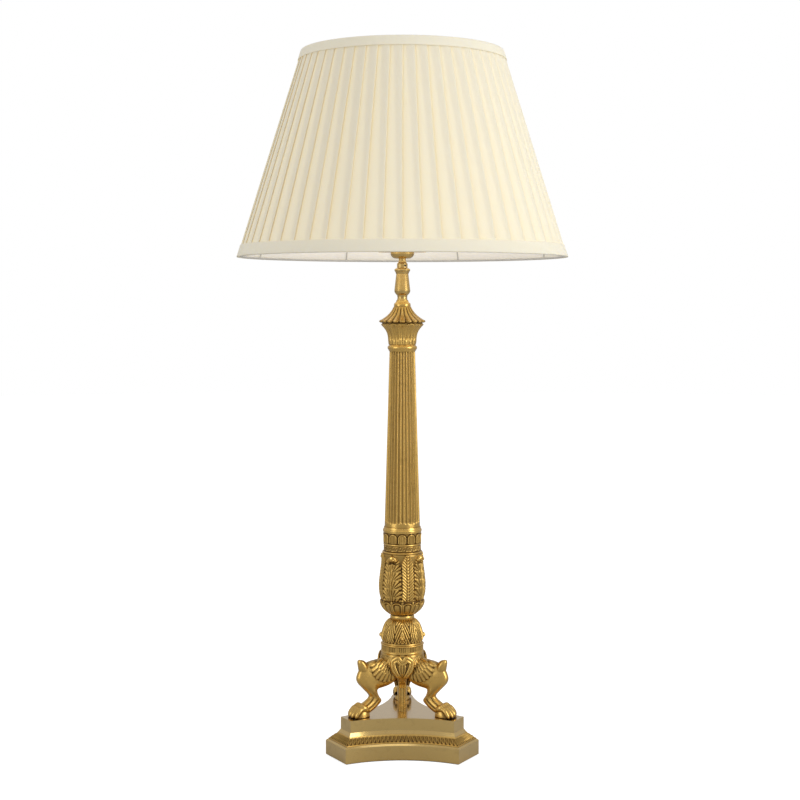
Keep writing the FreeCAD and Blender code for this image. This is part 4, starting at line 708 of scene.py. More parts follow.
def hub_relief(azimuth, height, reach):
    side = np.abs(repeat_mm(azimuth, HUB_LEAVES, reach))
    low = spray(side, HUB_LEAF_HEAD - height, (0.0, 1.0), reach=15, lean=20, spread=90, fingers=4,
                droop=0.1, blunt=1.2)
    smooth = step_up(height, 12.0, 13.0)
    lip = rounded((height - 15.6) / 1.2)
    return 0.7 * low * (1 - smooth) + 0.5 * lip - 0.4, np.clip(0.5 - 0.55 * low, 0, 1) * (1 - smooth) + 0.08


hub_line = curve([(33.0, -3), (33.0, -3), (32.6, 0), (32.0, 3.5), (31.2, 7), (30.6, 10.5), (30.2, 14),
                  (30.2, 17)], 7)
turned("leaf_hub", "leg_hub", hub_line, 420, hub_relief)

# %% Reeded ring
RING_REEDS = 72
RING_LIFT = 5.0


def reed_relief(azimuth, height, reach):
    up = height - RING_LIFT
    upright = step_up(up, 0.5, 0.9) * (1 - step_up(up, 7.4, 7.8))
    wide = 0.35 + 0.65 * (np.cos(azimuth * 12) > -0.2)
    groove = (1 - rounded(repeat(azimuth, RING_REEDS) * 0.98)) * upright * wide
    bead = rounded((up - 8.7) / 0.95)
    return 0.9 * bead - 1.3 * groove - 0.6, 0.18 * upright + 0.9 * groove + 0.6 * hump(up, 7.6, 0.3)


ring_line = [(30.2, h) for h in np.linspace(4.5, 14.8, 48)]
turned("reed_ring", "reeded_ring", ring_line, RING_REEDS * 8, reed_relief)

# %% Knop
KNOP_LEAVES = 4
KNOP_TEETH = 34
KNOP_LINE = curve([(28.4, 7.5), (28.4, 7.5), (28.6, 8.6), (28.0, 10), (28.2, 13), (28.5, 16), (28.3, 19.5),
                   (27.6, 23), (26.4, 27.5), (24.8, 32), (22.6, 36.4), (19.6, 39.8), (16.6, 41.8),
                   (15.4, 42.3)], 9)
KNOP_GONE = gone_along(KNOP_LINE)


def knop_relief(azimuth, height, reach):
    down = KNOP_GONE[-1] - np.interp(height, np.array(KNOP_LINE)[:, 1], KNOP_GONE)
    leaves = np.zeros_like(down)
    for first, high in ((0, 1.0), (45, 0.88)):
        side = np.abs(repeat_mm(azimuth, KNOP_LEAVES, reach, first))
        half = np.minimum(10.6 * np.clip((43 - down) / 10, 0, 1) ** 0.6, math.pi * reach / 8)
        comb = np.clip(1 - within_step((side - 0.42 * down) / 3.3) ** 2, 0, 1) ** 0.8
        within = 1 - step_up(side - half + 1.2 * (1 - comb), -0.4, 0.3)
        rib = hump(side, 0, 0.9) * (down < 39)
        leaves = lay_over(leaves, high * within * (0.12 + 0.8 * comb), high * rib)
    teeth = np.clip(1 - repeat(azimuth, KNOP_TEETH) ** 2, 0, 1) * hump(height, 11.6, 1.3) * 0.8
    curl = rounded((height - 19.0) / 3.4, repeat_mm(azimuth, KNOP_LEAVES, reach) / 4.2)
    foot = 1 - step_up(height, 9.9, 10.3)
    relief = lay_over(leaves * step_up(height, 11.5, 13.0), teeth)
    out = 2.6 * relief - 1.2 + 2.7 * curl
    return out * (1 - foot), (0.86 - 1.05 * relief - 0.8 * curl) * (1 - foot) + 0.12 * foot


knop = turned("leafy_knop", "acanthus_knop", KNOP_LINE, 440, knop_relief)
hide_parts("knop_collar")

# %% [markdown]
# ## The cup and the vase
# Twelve round petals hold the vase. Four acanthus leaves climb it and nod at their tips like hoods, and four
# palm leaves with combed ribs stand between them.

# %% Petalled cup
PETALS = 12
PETAL_PITCH = 2 * math.pi * 29 / PETALS
PETAL_HEAD = 20.8


def petal_relief(azimuth, height, reach):
    side = repeat(azimuth, PETALS, 15) * PETAL_PITCH / 2
    over = np.hypot(side / (PETAL_PITCH * 0.49), np.clip(height - PETAL_HEAD + 6.0, 0, None) / 6.0)
    petal = (1 - step_up(over, 0.94, 1.02)) * step_up(height, 0.8, 2.4)
    line = hump(over, 0.60, 0.13) * step_up(height, 3.0, 6)
    heart = hump(side, 0, 1.1) * step_up(height, 5, 8) * (1 - step_up(height, 15, 16.5)) * 0.8
    behind = np.abs(repeat(azimuth, PETALS)) * PETAL_PITCH / 2
    point = (1 - step_up(behind - np.clip((22.9 - height) * 0.8, 0, 1.5), -0.3, 0.3)) * 0.55
    edge = petal * (0.66 + 0.34 * step_up(over, 0.66, 0.86)) - 0.5 * line
    relief = lay_over(edge, heart * petal, point)
    return 2.6 * relief - 1.9, 0.88 - 1.0 * relief


cup_line = curve([(15.2, 0), (15.2, 0), (18.2, 1.4), (22.2, 4.2), (26.2, 8.2), (29.2, 13.0), (30.6, 17.4),
                  (31.0, 20.4), (30.6, 22.6)], 9)
turned("petal_cup", "lotus_cup", cup_line, 456, petal_relief)

# %% Acanthus leaves of the vase
VASE_LEAVES = 4
VASE_TURN = -30
# how far beside the rib each pair of sprays starts, how far up, and how far it reaches, in mm
LOBES = ((1.0, -8, 18), (1.0, 4, 19), (0.9, 16, 18.5), (0.9, 28, 17.5), (0.8, 39, 16), (0.8, 49, 12.5))


def acanthus(side, height):
    """Height of an acanthus leaf over places beside its rib, in mm."""
    leaf = hump(side, 0, 1.0) * 0.95 * (height < 62)
    for start_side, start, size in LOBES:
        lobe = spray(np.abs(side), height, (start_side, start), size, lean=44, spread=84, fingers=4,
                     droop=0.26, blunt=2.6)
        leaf = lay_over(leaf, lobe)
    return leaf


# %% Palm leaves of the vase
PALM_TURN = 15


def palm(side, height):
    """Height of a palm leaf with slanting ribs over places beside its middle, in mm."""
    beside = np.abs(side)
    half = 8.4 * np.clip((66 - height) / 13, 0, 1) ** 0.6
    comb = rounded(within_step((height - 0.95 * beside) / 4.3))
    within = 1 - step_up(beside - half + 0.9 * (1 - comb), -0.4, 0.3)
    rib = hump(side, 0, 0.75)
    return within * lay_over(0.28 + 0.62 * comb - 0.35 * hump(beside, 1.7, 0.5), rib)


# %% Vase
def vase_relief(azimuth, height, reach):
    side = repeat_mm(azimuth, VASE_LEAVES, reach, VASE_TURN)
    palm_side = repeat_mm(azimuth, VASE_LEAVES, reach, PALM_TURN)
    between = repeat_mm(azimuth, VASE_LEAVES, reach, PALM_TURN + 45)
    twist = hump(between, 0, 1.3) * (0.5 + 0.5 * np.cos(height * 1.9 + between * 1.2)) * 0.7
    relief = lay_over(acanthus(side, height), palm(palm_side, height), twist)
    hood = rounded((height - 59.4 + 0.05 * side**2) / 4.4, side / 7.4)
    under = hump(height + 0.06 * side**2, 53.4, 1.5) * hump(side, 0, 6.5, power=4)
    # A painted shadow darkens the groove under each hood.
    recess = 0.70 - 0.9 * relief - 0.8 * hood + 0.8 * under - 0.3 * step_up(height, 50, 60)
    return 2.8 * relief - 1.5 + 4.8 * hood - 0.8 * under, recess


vase_line = curve([(28.8, 0), (28.8, 0), (29.8, 2), (31.2, 8), (31.9, 16), (31.8, 24), (31.0, 32), (29.9, 41),
                   (28.9, 49), (28.5, 55), (28.8, 60), (29.0, 63), (28.2, 65)], 14)
turned("leafy_vase", "vase", vase_line, 560, vase_relief)

# %% [markdown]
# ## The frieze and the arcade
# A running wave goes round the vase's rim between two beads, and a row of arches stands on it. Both are
# shallow casts, so they stay part of the turned ring and are only raised over a darker ground.

# %% Running wave
WAVES = 15
WAVE_LENGTH = 2 * math.pi * 26 / WAVES


def wave_relief(azimuth, height, reach):
    x = repeat(azimuth, WAVES) * WAVE_LENGTH / 2
    y = height - 7.5

    def crest(shift, half):
        return hump(y - 2.9 * np.tanh((x - WAVE_LENGTH * shift) * 0.85), 0, half)

    neighbours = lay_over(crest(0.36, 0.55), crest(-0.36, 0.55)) * 0.7
    eyes = sum(np.exp(-(((x - way * 2.7) ** 2 + (y + way * 1.3) ** 2) / 0.9)) for way in (1, -1))
    band = step_up(height, 3.6, 4.0) * (1 - step_up(height, 11.2, 11.6))
    low_bead = rounded((height - 1.6) / 1.5)
    high_bead = rounded((height - 12.9) / 1.35)
    relief = lay_over(crest(0, 0.8), neighbours, np.clip(eyes, 0, 1) * 0.8) * band
    out = lay_over(1.1 * relief - 1.1, 1.9 * low_bead - 0.9, 1.1 * high_bead - 0.9)
    return out, 0.72 - 0.8 * lay_over(relief, low_bead, high_bead)


frieze_line = curve([(26.8, 0), (27.2, 1.6), (26.6, 3.2), (26.4, 3.8), (26.3, 7.6), (26.3, 11.4),
                     (26.4, 12.8), (26.2, 14.5)], 9)
turned("wave_band", "wave_frieze", frieze_line, 480, wave_relief)

# %% Arcade
ARCHES = 12
ARCADE_REACH = 26.9
ARCH_SPRING = 7.6


def arcade_relief(azimuth, height, reach):
    across = repeat_mm(azimuth, ARCHES, ARCADE_REACH, -0.5)
    over = np.hypot(across, np.clip(height - ARCH_SPRING, 0, None))
    arch = hump(over, 5.2, 0.95, power=4) * step_up(height, 0.6, 1.2)
    inner = (over < 4.4) * (0.30 + 0.34 * (0.5 + 0.5 * np.cos(across * 2 * math.pi / 2.6)))
    ground = 0.25 * (over > 6.2) * (height > 11)
    head = step_up(height, 14.6, 15.0)
    outline = hump(over, 6.7, 0.4) * (height < 15) * (1 - head)
    relief = lay_over(arch, inner, ground, head * 0.95) - 0.4 * outline
    return 1.5 * relief - 1.5, 0.85 - 0.95 * relief + 0.35 * outline


arcade_line = [(ARCADE_REACH, h) for h in np.linspace(0, 16.5, 56)]
turned("arcade", "arcade_band", arcade_line, 540, arcade_relief)

# %% [markdown]
# ## The fluted column and its capital
# The flutes are milled or cast grooves with round ends. A groove could be cut twenty-eight times, but it is
# only a half circle of depth round a line, so the turned cone is lowered by how near a point is to it.

# %% Fluted column
FLUTES = 28
FLUTE_DEPTH = 1.35
FLUTE_FOOT = 8.0
COLUMN_FOOT_REACH, COLUMN_HEAD_REACH = 24.8, 17.8
column_low, column_high = levels("fluted_column")
COLUMN_TALL = round(column_high - column_low, 3)


def flute_relief(azimuth, height, reach):
    pitch = 2 * math.pi * reach / FLUTES
    across = repeat(azimuth, FLUTES) * pitch / 2
    beyond = np.clip(FLUTE_FOOT - height, 0, None) + np.clip(height - (COLUMN_TALL - 1.5), 0, None)
    groove = rounded(np.hypot(across, beyond) / (pitch * 0.42))
    return -FLUTE_DEPTH * groove, 0.03 + 0.58 * groove**1.4


column_levels = [*np.linspace(0, 14, 20), *np.linspace(20, 230, 22), *np.linspace(234, COLUMN_TALL, 18)]
column_line = [(COLUMN_FOOT_REACH + (COLUMN_HEAD_REACH - COLUMN_FOOT_REACH) * h / COLUMN_TALL, h)
               for h in column_levels]
turned("fluted_shaft", "fluted_column", column_line, FLUTES * 14, flute_relief)

# %% Bell of the capital
WATER_LEAVES = 14


def bell_relief(azimuth, height, reach):
    across = repeat(azimuth, WATER_LEAVES, 12.9)
    head = 28.6 - 5.0 * (1 - rounded(across * 0.97))
    front = 1 - step_up(height, head - 0.9, head)
    bulge = np.clip(1 - np.abs(across) ** 3, 0, 1)
    rib = hump(np.abs(across), 0.36, 0.13) * 0.42
    split = hump(across, 0, 0.10) * 0.1
    second = (1 - step_up(height, 28.8, 29.8)) * rounded(repeat(azimuth, WATER_LEAVES) * 1.3) * 0.5
    relief = lay_over(front * (bulge - rib * step_up(height, 4, 9) - split), second)
    return 2.1 * relief - 1.6, 0.5 - 0.7 * relief


bell_line = curve([(18.6, 0), (18.6, 0), (19.2, 5), (19.6, 10), (20.6, 15), (22.6, 19.5), (25.6, 23.6),
                   (28.4, 26.6), (29.6, 28.4), (29.4, 30.2)], 9)
turned("leafy_bell", "capital_bell", bell_line, 448, bell_relief)

# %% Scalloped canopy
SCALLOPS = 20


def canopy_relief(azimuth, height, reach):
    lobes = rounded(repeat(azimuth, SCALLOPS) * 0.985) ** 0.8
    valley = 1 - lobes
    away = 1 - step_up(height, 17, 22)
    rim = rounded((height - 2.0) / 2.3)
    out = -2.5 * valley * (0.35 + 0.65 * away) + 1.5 * rim * lobes - 0.4
    dark = np.clip(0.9 * valley**0.7, 0, 1) * (0.55 + 0.45 * away)
    return out * (height > 0.2), 0.18 + dark + 0.4 * (height < 0.3)


canopy_line = curve([(29.2, 0), (29.2, 0), (30.6, 0.9), (31.0, 2.2), (30.2, 3.6), (27.4, 5.6), (23.6, 8.2),
                     (19.9, 11.4), (16.6, 15.2), (14.0, 19), (12.4, 22.3)], 9)
turned("scalloped_canopy", "capital_canopy", canopy_line, 440, canopy_relief)

# %% [markdown]
# ## The legs
# Each leg is one casting: a thigh under a fan of acanthus fingers, a smooth knee, a sharp ridge down to the
# hock, two sinews and a four-toed paw. Ovals that follow the leg's bends give the animal shape, and the fan,
# ridge and sinews are carved by where a point lies in the leg's own plane. The paw, its toes and the curled
# tip on the knee are made apart and sunk into the leg, as a caster's pattern maker would.

# %% A leg's bends
PLINTH_TOP = round(levels("plinth_block")[1], 3)
LEG_AZIMUTHS = {"back": 90, "left": 210, "right": 330}
LEG_ROUTE = curve([
    # low point out and up, high point out and up, half the width
    (4.0, 56.0, 4.0, 72.0, 6.0), (11.0, 49.0, 11.0, 75.0, 10.5), (19.0, 42.0, 19.5, 76.5, 13.0),
    (28.5, 38.5, 33.0, 76.5, 12.4), (38.2, 36.7, 52.0, 74.5, 10.8), (40.9, 35.3, 66.0, 68.0, 10.0),
    (41.2, 33.2, 72.4, 56.5, 9.3), (40.3, 29.7, 71.0, 48.0, 8.8), (38.2, 25.4, 62.6, 38.5, 8.0),
    (35.7, 21.4, 53.8, 29.0, 7.3), (36.5, 16.6, 54.6, 24.7, 7.1), (44.1, 9.9, 60.9, 20.1, 7.6),
    (53.8, 4.2, 67.2, 16.6, 8.1)], 14)


def leg_piece(name, leg, cells, route, rule):
    """Wraps a grid round a route on one leg. The rule takes the angle round it, the share along it and the
    route's numbers there. It gives places out, sideways and up on the leg, and their recess."""
    azimuth = math.radians(LEG_AZIMUTHS[leg])

    def place(round_share, along):
        out, side, up, recess = rule(round_share * 2 * math.pi, along, *along_route(route, along))
        return np.column_stack([out * math.cos(azimuth) - side * math.sin(azimuth),
                                out * math.sin(azimuth) + side * math.cos(azimuth), up + PLINTH_TOP]), recess

    woven(name, cells, len(route) - 1, place, "antique_brass", "lamp", f"leg_{leg}")


# %% The fan of fingers on a thigh
FAN_OUT, FAN_UP = 20.0, 84.0
FAN_SPREAD = 84
FAN_REACH = 42
# how far each layer reaches in mm, where its middle points in degrees, and how high it stands
FAN_LAYERS = ((43.0, 42.0, 0.85), (31.0, 46.5, 0.93), (18.0, 42.0, 1.0))


def fan(out, up):
    """Height of the acanthus fan over a place in the leg's plane, from 0 to 1."""
    height = np.zeros(len(out))
    for reach, lean, high in FAN_LAYERS:
        layer = spray(out, -up, (FAN_OUT, -FAN_UP), reach, lean, FAN_SPREAD, fingers=9, droop=0.2, blunt=3.4)
        height = np.where(np.abs(layer) > 0.001, high * np.clip(layer, 0, 1), height)
    return height


def in_fan(out, up):
    """Whether a place lies on the fan's ground."""
    bearing = np.degrees(np.arctan2(out - FAN_OUT, FAN_UP - up))
    edge = FAN_REACH * (1 - 0.2 * ((bearing - FAN_SPREAD / 2) / (FAN_SPREAD / 2)) ** 2)
    near = np.hypot(out - FAN_OUT, up - FAN_UP) < edge
    return near * (bearing > 0) * (bearing < FAN_SPREAD)


# %% A leg's surface
def leg_surface(angle, along, low_out, low_up, high_out, high_up, wide):
    tall = np.hypot(high_out - low_out, high_up - low_up) / 2
    toward_out, toward_up = (high_out - low_out) / (2 * tall), (high_up - low_up) / (2 * tall)
    lift = boxier(np.cos(angle), 0.9)
    out = (low_out + high_out) / 2 + toward_out * tall * lift
    up = (low_up + high_up) / 2 + toward_up * tall * lift
    side = wide * boxier(np.sin(angle), 0.85)

    # relief by how many degrees a point lies from the oval's high point
    thigh = 1 - step_up(along, 0.50, 0.54)
    leaves = fan(out, up) * thigh
    turn = np.degrees(np.abs(np.where(angle > math.pi, angle - 2 * math.pi, angle)))
    ridge = hump(turn, 118 - 20 * step_up(along, 0.5, 0.74), 9) * hump(along, 0.66, 0.18)
    hollow = hump(turn, 84, 24) * hump(along, 0.64, 0.12)
    sinews = (hump(turn, 55, 6.5) + hump(turn, 96, 6.5)) * step_up(along, 0.74, 0.81)
    hock = hump(turn, 180, 26) * hump(along, 0.785, 0.055)
    grow = 2.4 * leaves + 1.3 * ridge - 1.0 * hollow - 1.15 * sinews + 1.2 * hock

    # the relief grows square to the oval
    norm_up, norm_side = np.cos(angle) / tall, np.sin(angle) / wide
    size = np.hypot(norm_up, norm_side)
    out = out + toward_out * grow * norm_up / size
    up = up + toward_up * grow * norm_up / size
    side = side + grow * norm_side / size
    recess = 0.10 + in_fan(out, up) * thigh * (0.80 - 1.1 * leaves) + 0.75 * sinews + 0.3 * hollow
    return out, side, np.maximum(up, 0.6), recess


for leg in LEG_AZIMUTHS:
    leg_piece(f"leg_shape_{leg}", leg, 132, LEG_ROUTE, leg_surface)

# %% Paws and toes
PAW_ROUTE = curve([
    # out, height, half the width
    (55.0, 6.0, 4.0), (56.0, 10.6, 6.8), (59.5, 15.0, 9.2), (63.5, 16.8, 10.6), (68.5, 14.6, 11.0),
    (73.0, 10.0, 10.4), (76.0, 6.0, 9.6), (77.0, 2.0, 8.6), (76.5, 0.4, 8.0)], 7)
TOE_ROUTE = curve([
    # out, up, radius
    (58.0, 9.5, 3.0), (62.0, 12.2, 4.6), (66.5, 13.4, 4.9), (70.0, 12.4, 4.4), (73.5, 10.6, 4.8),
    (77.0, 8.0, 4.9), (79.8, 5.8, 4.6), (81.9, 4.4, 3.9), (83.3, 3.6, 2.7), (83.9, 3.2, 1.3),
    (84.0, 3.1, 0.2)], 6)
TOE_ROOT = 60
TOE_NARROWING = 0.86
# each toe's place beside the paw's middle in mm, its splay in degrees and how far it stays back in mm
TOES = ((-9.6, -8, 3.0), (-3.4, -3, 0.4), (3.4, 3, 0.4), (9.6, 8, 3.0))


def paw(angle, along, out, tall, half):
    up = np.maximum(tall * np.sin(angle), 0.05)
    # The paw is painted darker at its foot on the plinth and along its front, under the toes, as painted
    # shade.
    recess = 0.1 + 0.6 * (up < 0.8) + 0.5 * step_up(along, 0.45, 0.6)
    return out, half * boxier(np.cos(angle), 0.9), up, recess


def toe(middle, splay, back):
    """The rule for one of a paw's toes."""
    def rule(angle, along, out, up, radius):
        reach = out - TOE_ROOT - back * step_up(along, 0.2, 0.9)
        side = middle * TOE_NARROWING + reach * math.sin(math.radians(splay)) * 0.5
        side = side + radius * TOE_NARROWING * np.cos(angle)
        crease = hump(along, 0.36, 0.05)
        height = np.maximum(up + radius * np.sin(angle) - 0.5 * crease, 0.1)
        down = 0.5 - 0.5 * np.sin(angle)
        # The toe is painted darker on its underside, as painted shade, and in its crease.
        return TOE_ROOT + reach, side, height, 0.04 + 0.3 * crease + 0.6 * down**2

    return rule


for leg in LEG_AZIMUTHS:
    leg_piece(f"paw_{leg}", leg, 72, PAW_ROUTE, paw)
    for number, place in enumerate(TOES, 1):
        leg_piece(f"toe_{leg}_{number}", leg, 32, TOE_ROUTE, toe(*place))

# %% Curled tips on the knees
TIP_ROUTE = curve([
    # out, up, radius
    (61.5, 58.0, 3.0), (61.8, 63.0, 6.8), (62.6, 68.5, 7.3), (63.8, 72.5, 6.9), (65.2, 75.6, 5.9),
    (66.4, 77.9, 4.6), (67.6, 79.3, 2.8), (68.3, 80.0, 0.6)], 6)


def knee_tip(angle, along, out, up, radius):
    grown = radius * (1 + 0.16 * hump(angle, math.pi, 0.3))
    folds = hump(np.abs(angle - math.pi), 1.0, 0.25) * step_up(along, 0.2, 0.5)
    side = grown * 1.05 * np.sin(angle) * (1 - 0.12 * folds)
    return out + grown * np.cos(angle), side, up, 0.08 + 0.5 * folds + 0.2 * hump(along, 0.22, 0.1)


for leg in LEG_AZIMUTHS:
    leg_piece(f"knee_tip_{leg}", leg, 48, TIP_ROUTE, knee_tip)

# %% [markdown]
# ## The post and the heart plaques
# Between the legs stands a reeded post, and in each gap a strap forms a heart and runs down into the reeds.
# The real plaque is cast flat and bent. Here a flat grid is widened to the heart's outline and laid on the
# bent line, and its bands are raised by how far a point is from the edge.

# %% Reeded post
POST_BORE = 5.0
POST_REEDS = 9


def post_relief(azimuth, height, reach):
    reeds = rounded(repeat(azimuth, POST_REEDS)) ** 0.7
    fade = 1 - step_up(height, 40, 50)
    return 0.75 * (reeds - 1) * fade, (0.9 - reeds) * fade + 0.1


post_line = curve([(6.6, 0), (6.6, 0), (6.3, 2), (6.2, 6), (6.2, 20), (6.2, 38), (7.0, 44), (8.4, 49),
                   (10.5, 55), (12.6, 61), (14.2, 66), (15.0, 70.6)], 6)
turned("reeded_post", "centre_post", post_line, 216, post_relief, POST_BORE)

# %% The strap's bends and its heart
STRAP_ROUTE = curve([(31.4, 84.0), (32.2, 79), (32.9, 73), (33.2, 67), (32.2, 61), (28.2, 55), (21.5, 50.0),
                     (14.2, 45.5), (9.2, 41.0), (7.0, 35.0)], 9)
STRAP_OUT, STRAP_UP = np.array(STRAP_ROUTE).T
STRAP_GONE = gone_along(STRAP_ROUTE)
STRAP_LONG = STRAP_GONE[-1]
STRAP_THICKNESS = 1.6
# how far down the strap, and half its width there
STRAP_HALVES = curve([(0.0, 12.4), (2.5, 15.2), (6.5, 17.0), (12, 17.4), (18, 16.2), (24, 13.6), (30, 10.2),
                      (36, 7.2), (42, 5.6), (50, 5.0), (60, 4.8), (75, 4.6)], 6)
HALF_DOWN, HALF_WIDE = np.array(STRAP_HALVES).T


def heart_cell(across, along):
    """Places sideways and down the strap, in mm, for places from -1 to 1 across and from 0 to 1 along."""
    head = 5.0 * hump(across, 0, 0.22) + 3.0 * np.abs(across) ** 3.5
    half = np.interp(along * STRAP_LONG, HALF_DOWN, HALF_WIDE)
    return across * half, along * STRAP_LONG + (1 - along) ** 7 * head


edge_across, edge_along = np.linspace(-1, 1, 81), np.linspace(0, 1, 90)
STRAP_EDGE = np.hstack([heart_cell(edge_across, 0), heart_cell(1, edge_along), heart_cell(-1, edge_along)])
print("strap in mm:", round(STRAP_LONG, 1), "long")


# %% The heart's bands, bud and reeds
def bud_relief(side, down):
    """A rimmed and ribbed bud in the middle of the heart."""
    bud_half = np.interp(down, [7.5, 10, 14, 19, 25, 30], [0.1, 2.7, 4.9, 4.7, 2.6, 0.1])
    beyond = np.abs(side) - bud_half
    bud = (1 - step_up(beyond, -0.3, 0.3)) * (down > 7.5) * (down < 30)
    return bud * lay_over(np.full(len(side), 0.34), 0.85 * hump(beyond, -0.7, 0.6), 0.9 * hump(side, 0, 0.7))


def heart_relief(side, down, inset, low):
    """Two bands along the edge, the bud, a hatched diamond and the reeds, from 0 to 1."""
    rims = lay_over(rounded((inset - 2.1) / 2.1), 0.92 * rounded((inset - 6.0) / 1.6))
    hatch = np.clip(np.cos(1.9 * (side + down)) + np.cos(1.9 * (side - down)), 0, 1)
    hatched = (0.35 + 0.5 * hatch) * (1 - step_up(np.abs(side) + 0.8 * np.abs(down - 41), 4.6, 5.2))
    reeds = rounded(within_step(side / 3.3 + 0.5)) ** 0.7 * step_up(down, 45, 49)
    plain = 0.5 * low * (1 - step_up(down, 46, 49))
    return lay_over(rims * (1 - low), bud_relief(side, down), hatched, reeds, plain)


# %% Heart plaques
HUB_ROUND = 33.0


def heart_plaque(name, azimuth):
    turn = math.radians(azimuth)

    def place(across_share, along):
        across = 2 * across_share - 1
        side, down = heart_cell(across, along)
        inset = np.min(np.hypot(side[:, None] - STRAP_EDGE[0], down[:, None] - STRAP_EDGE[1]), axis=1)
        low = step_up(down, 38, 44)
        relief = heart_relief(side, down, inset, low)
        dish = 0.45 * (across**2 - 0.3) * (1 - low)
        lift = 2.0 * relief - 0.4 - dish
        facing_out = -np.interp(down, STRAP_GONE, np.gradient(STRAP_UP, STRAP_GONE))
        facing_up = np.interp(down, STRAP_GONE, np.gradient(STRAP_OUT, STRAP_GONE))
        out = np.interp(down, STRAP_GONE, STRAP_OUT) + facing_out * lift
        up = np.interp(down, STRAP_GONE, STRAP_UP) + facing_up * lift

        # the heart is bent round the hub, and the reeds below it stay flat
        bend = turn + side / np.maximum(out, HUB_ROUND) * (1 - low)
        straight = side * low
        spots = np.column_stack([out * np.cos(bend) - straight * math.sin(turn),
                                 out * np.sin(bend) + straight * math.cos(turn), up + PLINTH_TOP])
        # The strap's edge is painted lighter, as painted light against the hub's shade, and its low reeded
        # part is painted lighter, as painted light from the table below.
        painted_edge_light = 0.5 * (1 - step_up(inset, 0.2, 0.9))
        return spots, (0.74 - 0.9 * relief - painted_edge_light) * (1 - 0.65 * low)

    solid = name.replace("heart", "plaque")
    return thicken(woven(name, 104, 160, place, "antique_brass", "lamp", solid), STRAP_THICKNESS)


for name, azimuth in (("heart_front", 270), ("heart_right", 30), ("heart_left", 150)):
    heart_plaque(name, azimuth)

# %% [markdown]
# ## The leaf band and the felt
# The sloping band between the plinth's two blocks carries small pointed leaves, tips down. It follows the
# hollow sides round the three corners, so its grid is wrapped on the plinth's outline level by level. Felt
# is a real sheet, cut to the same outline and glued flat under the foot.

# %% The plinth's outline
CORNER_REACH = 106.0
HOLLOW_REACH = 151.3
HOLLOW_CENTRE = 208.8


def plinth_outline(inset, points_per_side, points_per_corner):
    """Points of the plinth's outline in mm, this far inside its foot."""
    rows = []
    reach = HOLLOW_REACH + inset
    for corner in (330, 90, 210):
        facing = np.array([math.cos(math.radians(corner)), math.sin(math.radians(corner))])
        along = np.array([-facing[1], facing[0]])
        next_hollow = math.radians(corner + 60)
        centre = HOLLOW_CENTRE * np.array([math.cos(next_hollow), math.sin(next_hollow)])
        flat = facing * (CORNER_REACH - inset)
        gap = flat - centre
        middle = gap @ along
        half = -middle - math.sqrt(middle**2 - gap @ gap + reach**2)
        for share in np.linspace(-1, 1, points_per_corner, endpoint=False):
            rows.append(flat + along * half * share)
        start = flat + along * half - centre
        begin = math.atan2(start[1], start[0])
        toward = next_hollow + math.pi
        sweep = (toward - begin + math.pi) % (2 * math.pi) - math.pi
        for share in np.linspace(0, 2, points_per_side, endpoint=False):
            turn = begin + sweep * share
            rows.append(centre + reach * np.array([math.cos(turn), math.sin(turn)]))
    return np.array(rows)


# %% Leaf band
LEAF_CELLS = 10
SIDE_LEAVES = 27
CORNER_LEAVES = 12
SLOPE_FOOT, SLOPE_HEAD = 1.5, 9.5
SLOPE_OUT, SLOPE_UP = 0.65, 0.7
BAND_FOOT = levels("plinth_band")[0]
BAND_LINE = curve([
    # inset and height over the band's foot
    (26.0, 0.05), (26.0, 0.05), (2.9, 0.05), (2.9, 0.05), (2.8, 0.9), (3.4, SLOPE_FOOT), (3.4, SLOPE_FOOT),
    (12.0, SLOPE_HEAD), (12.0, SLOPE_HEAD), (12.6, 10.45), (12.6, 10.45), (26.0, 10.45)], 10)

band_rings = np.array([plinth_outline(inset, SIDE_LEAVES * LEAF_CELLS, CORNER_LEAVES * LEAF_CELLS)
                       for inset, height in BAND_LINE])
band_columns = band_rings.shape[1]


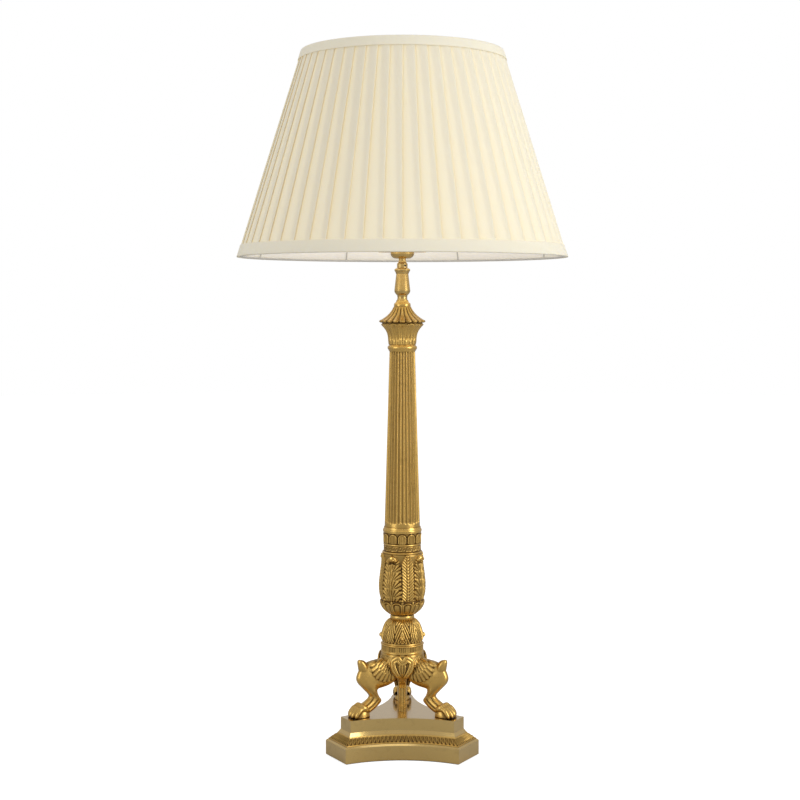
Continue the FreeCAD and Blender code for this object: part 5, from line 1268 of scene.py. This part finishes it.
def leaf_place(round_share, along):
    row = np.clip(np.round(along * (len(BAND_LINE) - 1)).astype(int), 0, len(BAND_LINE) - 1)
    column = np.round(round_share * band_columns).astype(int) % band_columns
    height = np.array(BAND_LINE)[row, 1]
    leaf_share = (column / LEAF_CELLS) % 1 * 2 - 1
    up = np.clip((height - SLOPE_FOOT) / (SLOPE_HEAD - SLOPE_FOOT), 0, 1)
    sloping = (height > SLOPE_FOOT) * (height < SLOPE_HEAD)
    leaf_half = np.interp(up, [0.0, 0.3, 0.65, 1.0], [0.02, 0.66, 0.92, 0.80])
    edge = hump(np.abs(leaf_share), leaf_half * 0.84, 0.15)
    rib = hump(leaf_share, 0, 0.14) * step_up(up, 0.08, 0.2) * (1 - step_up(up, 0.86, 0.95))
    relief = lay_over(edge, rib * 0.85) * sloping
    out = np.where(sloping, 2.2 * relief - 1.5, 0)
    spots = band_rings[row, column]
    reach = np.hypot(*spots.T)
    flat = spots * ((reach + out * SLOPE_OUT) / reach)[:, None]
    recess = np.where(sloping, 0.95 - 1.05 * relief, 0.15)
    return np.column_stack([flat, BAND_FOOT + height + out * SLOPE_UP]), recess


woven("leaf_band", band_columns, len(BAND_LINE) - 1, leaf_place, "antique_brass", "lamp", "plinth_band")

# %% Felt
FELT_INSET = 2.5

felt_low, felt_high = levels("base_felt")
felt_line = plinth_outline(FELT_INSET, 60, 16)
felt_shape = bmesh.new()
rim = [felt_shape.verts.new((x * MM, y * MM, (felt_low + felt_high) / 2 * MM)) for x, y in felt_line]
for pair in zip(rim, rim[1:] + rim[:1]):
    felt_shape.edges.new(pair)
bmesh.ops.triangle_fill(felt_shape, edges=felt_shape.edges, use_beauty=True)
felt_area = sum(face.calc_area() for face in felt_shape.faces)
felt = thicken(stand("felt_pad", felt_shape, "felt", "lamp", "base_felt"), felt_high - felt_low)

# %% [markdown]
# ## The plain solids
# What is left are the turned and drawn pieces whose solids already have the real shape. They keep it, and
# each takes the finish that its solid names, but for two kinds. The neck's pieces and the rod take the
# fittings' cleaner brass, and the set screw is iron.

# %% Finish the solids that stay
NECK_PIECES = ("threaded_rod", "neck_baluster", "neck_collar", "knuckle", "holder_dish")

replaced = {name for name, thing in nodes.items() if thing.hide_render}
for entry in frame["record"]["subparts"]:
    if entry["node"] in replaced:
        continue
    slots = nodes[entry["node"]].data.materials
    for place in range(len(slots)):
        slots[place] = FINISH[entry["material_slot"]]
for name in NECK_PIECES:
    nodes[name].data.materials[0] = FINISH["fitting_brass"]
nodes["set_screw"].data.materials[0] = FINISH["iron"]
print("solids that stay:", sorted(set(nodes) - replaced))
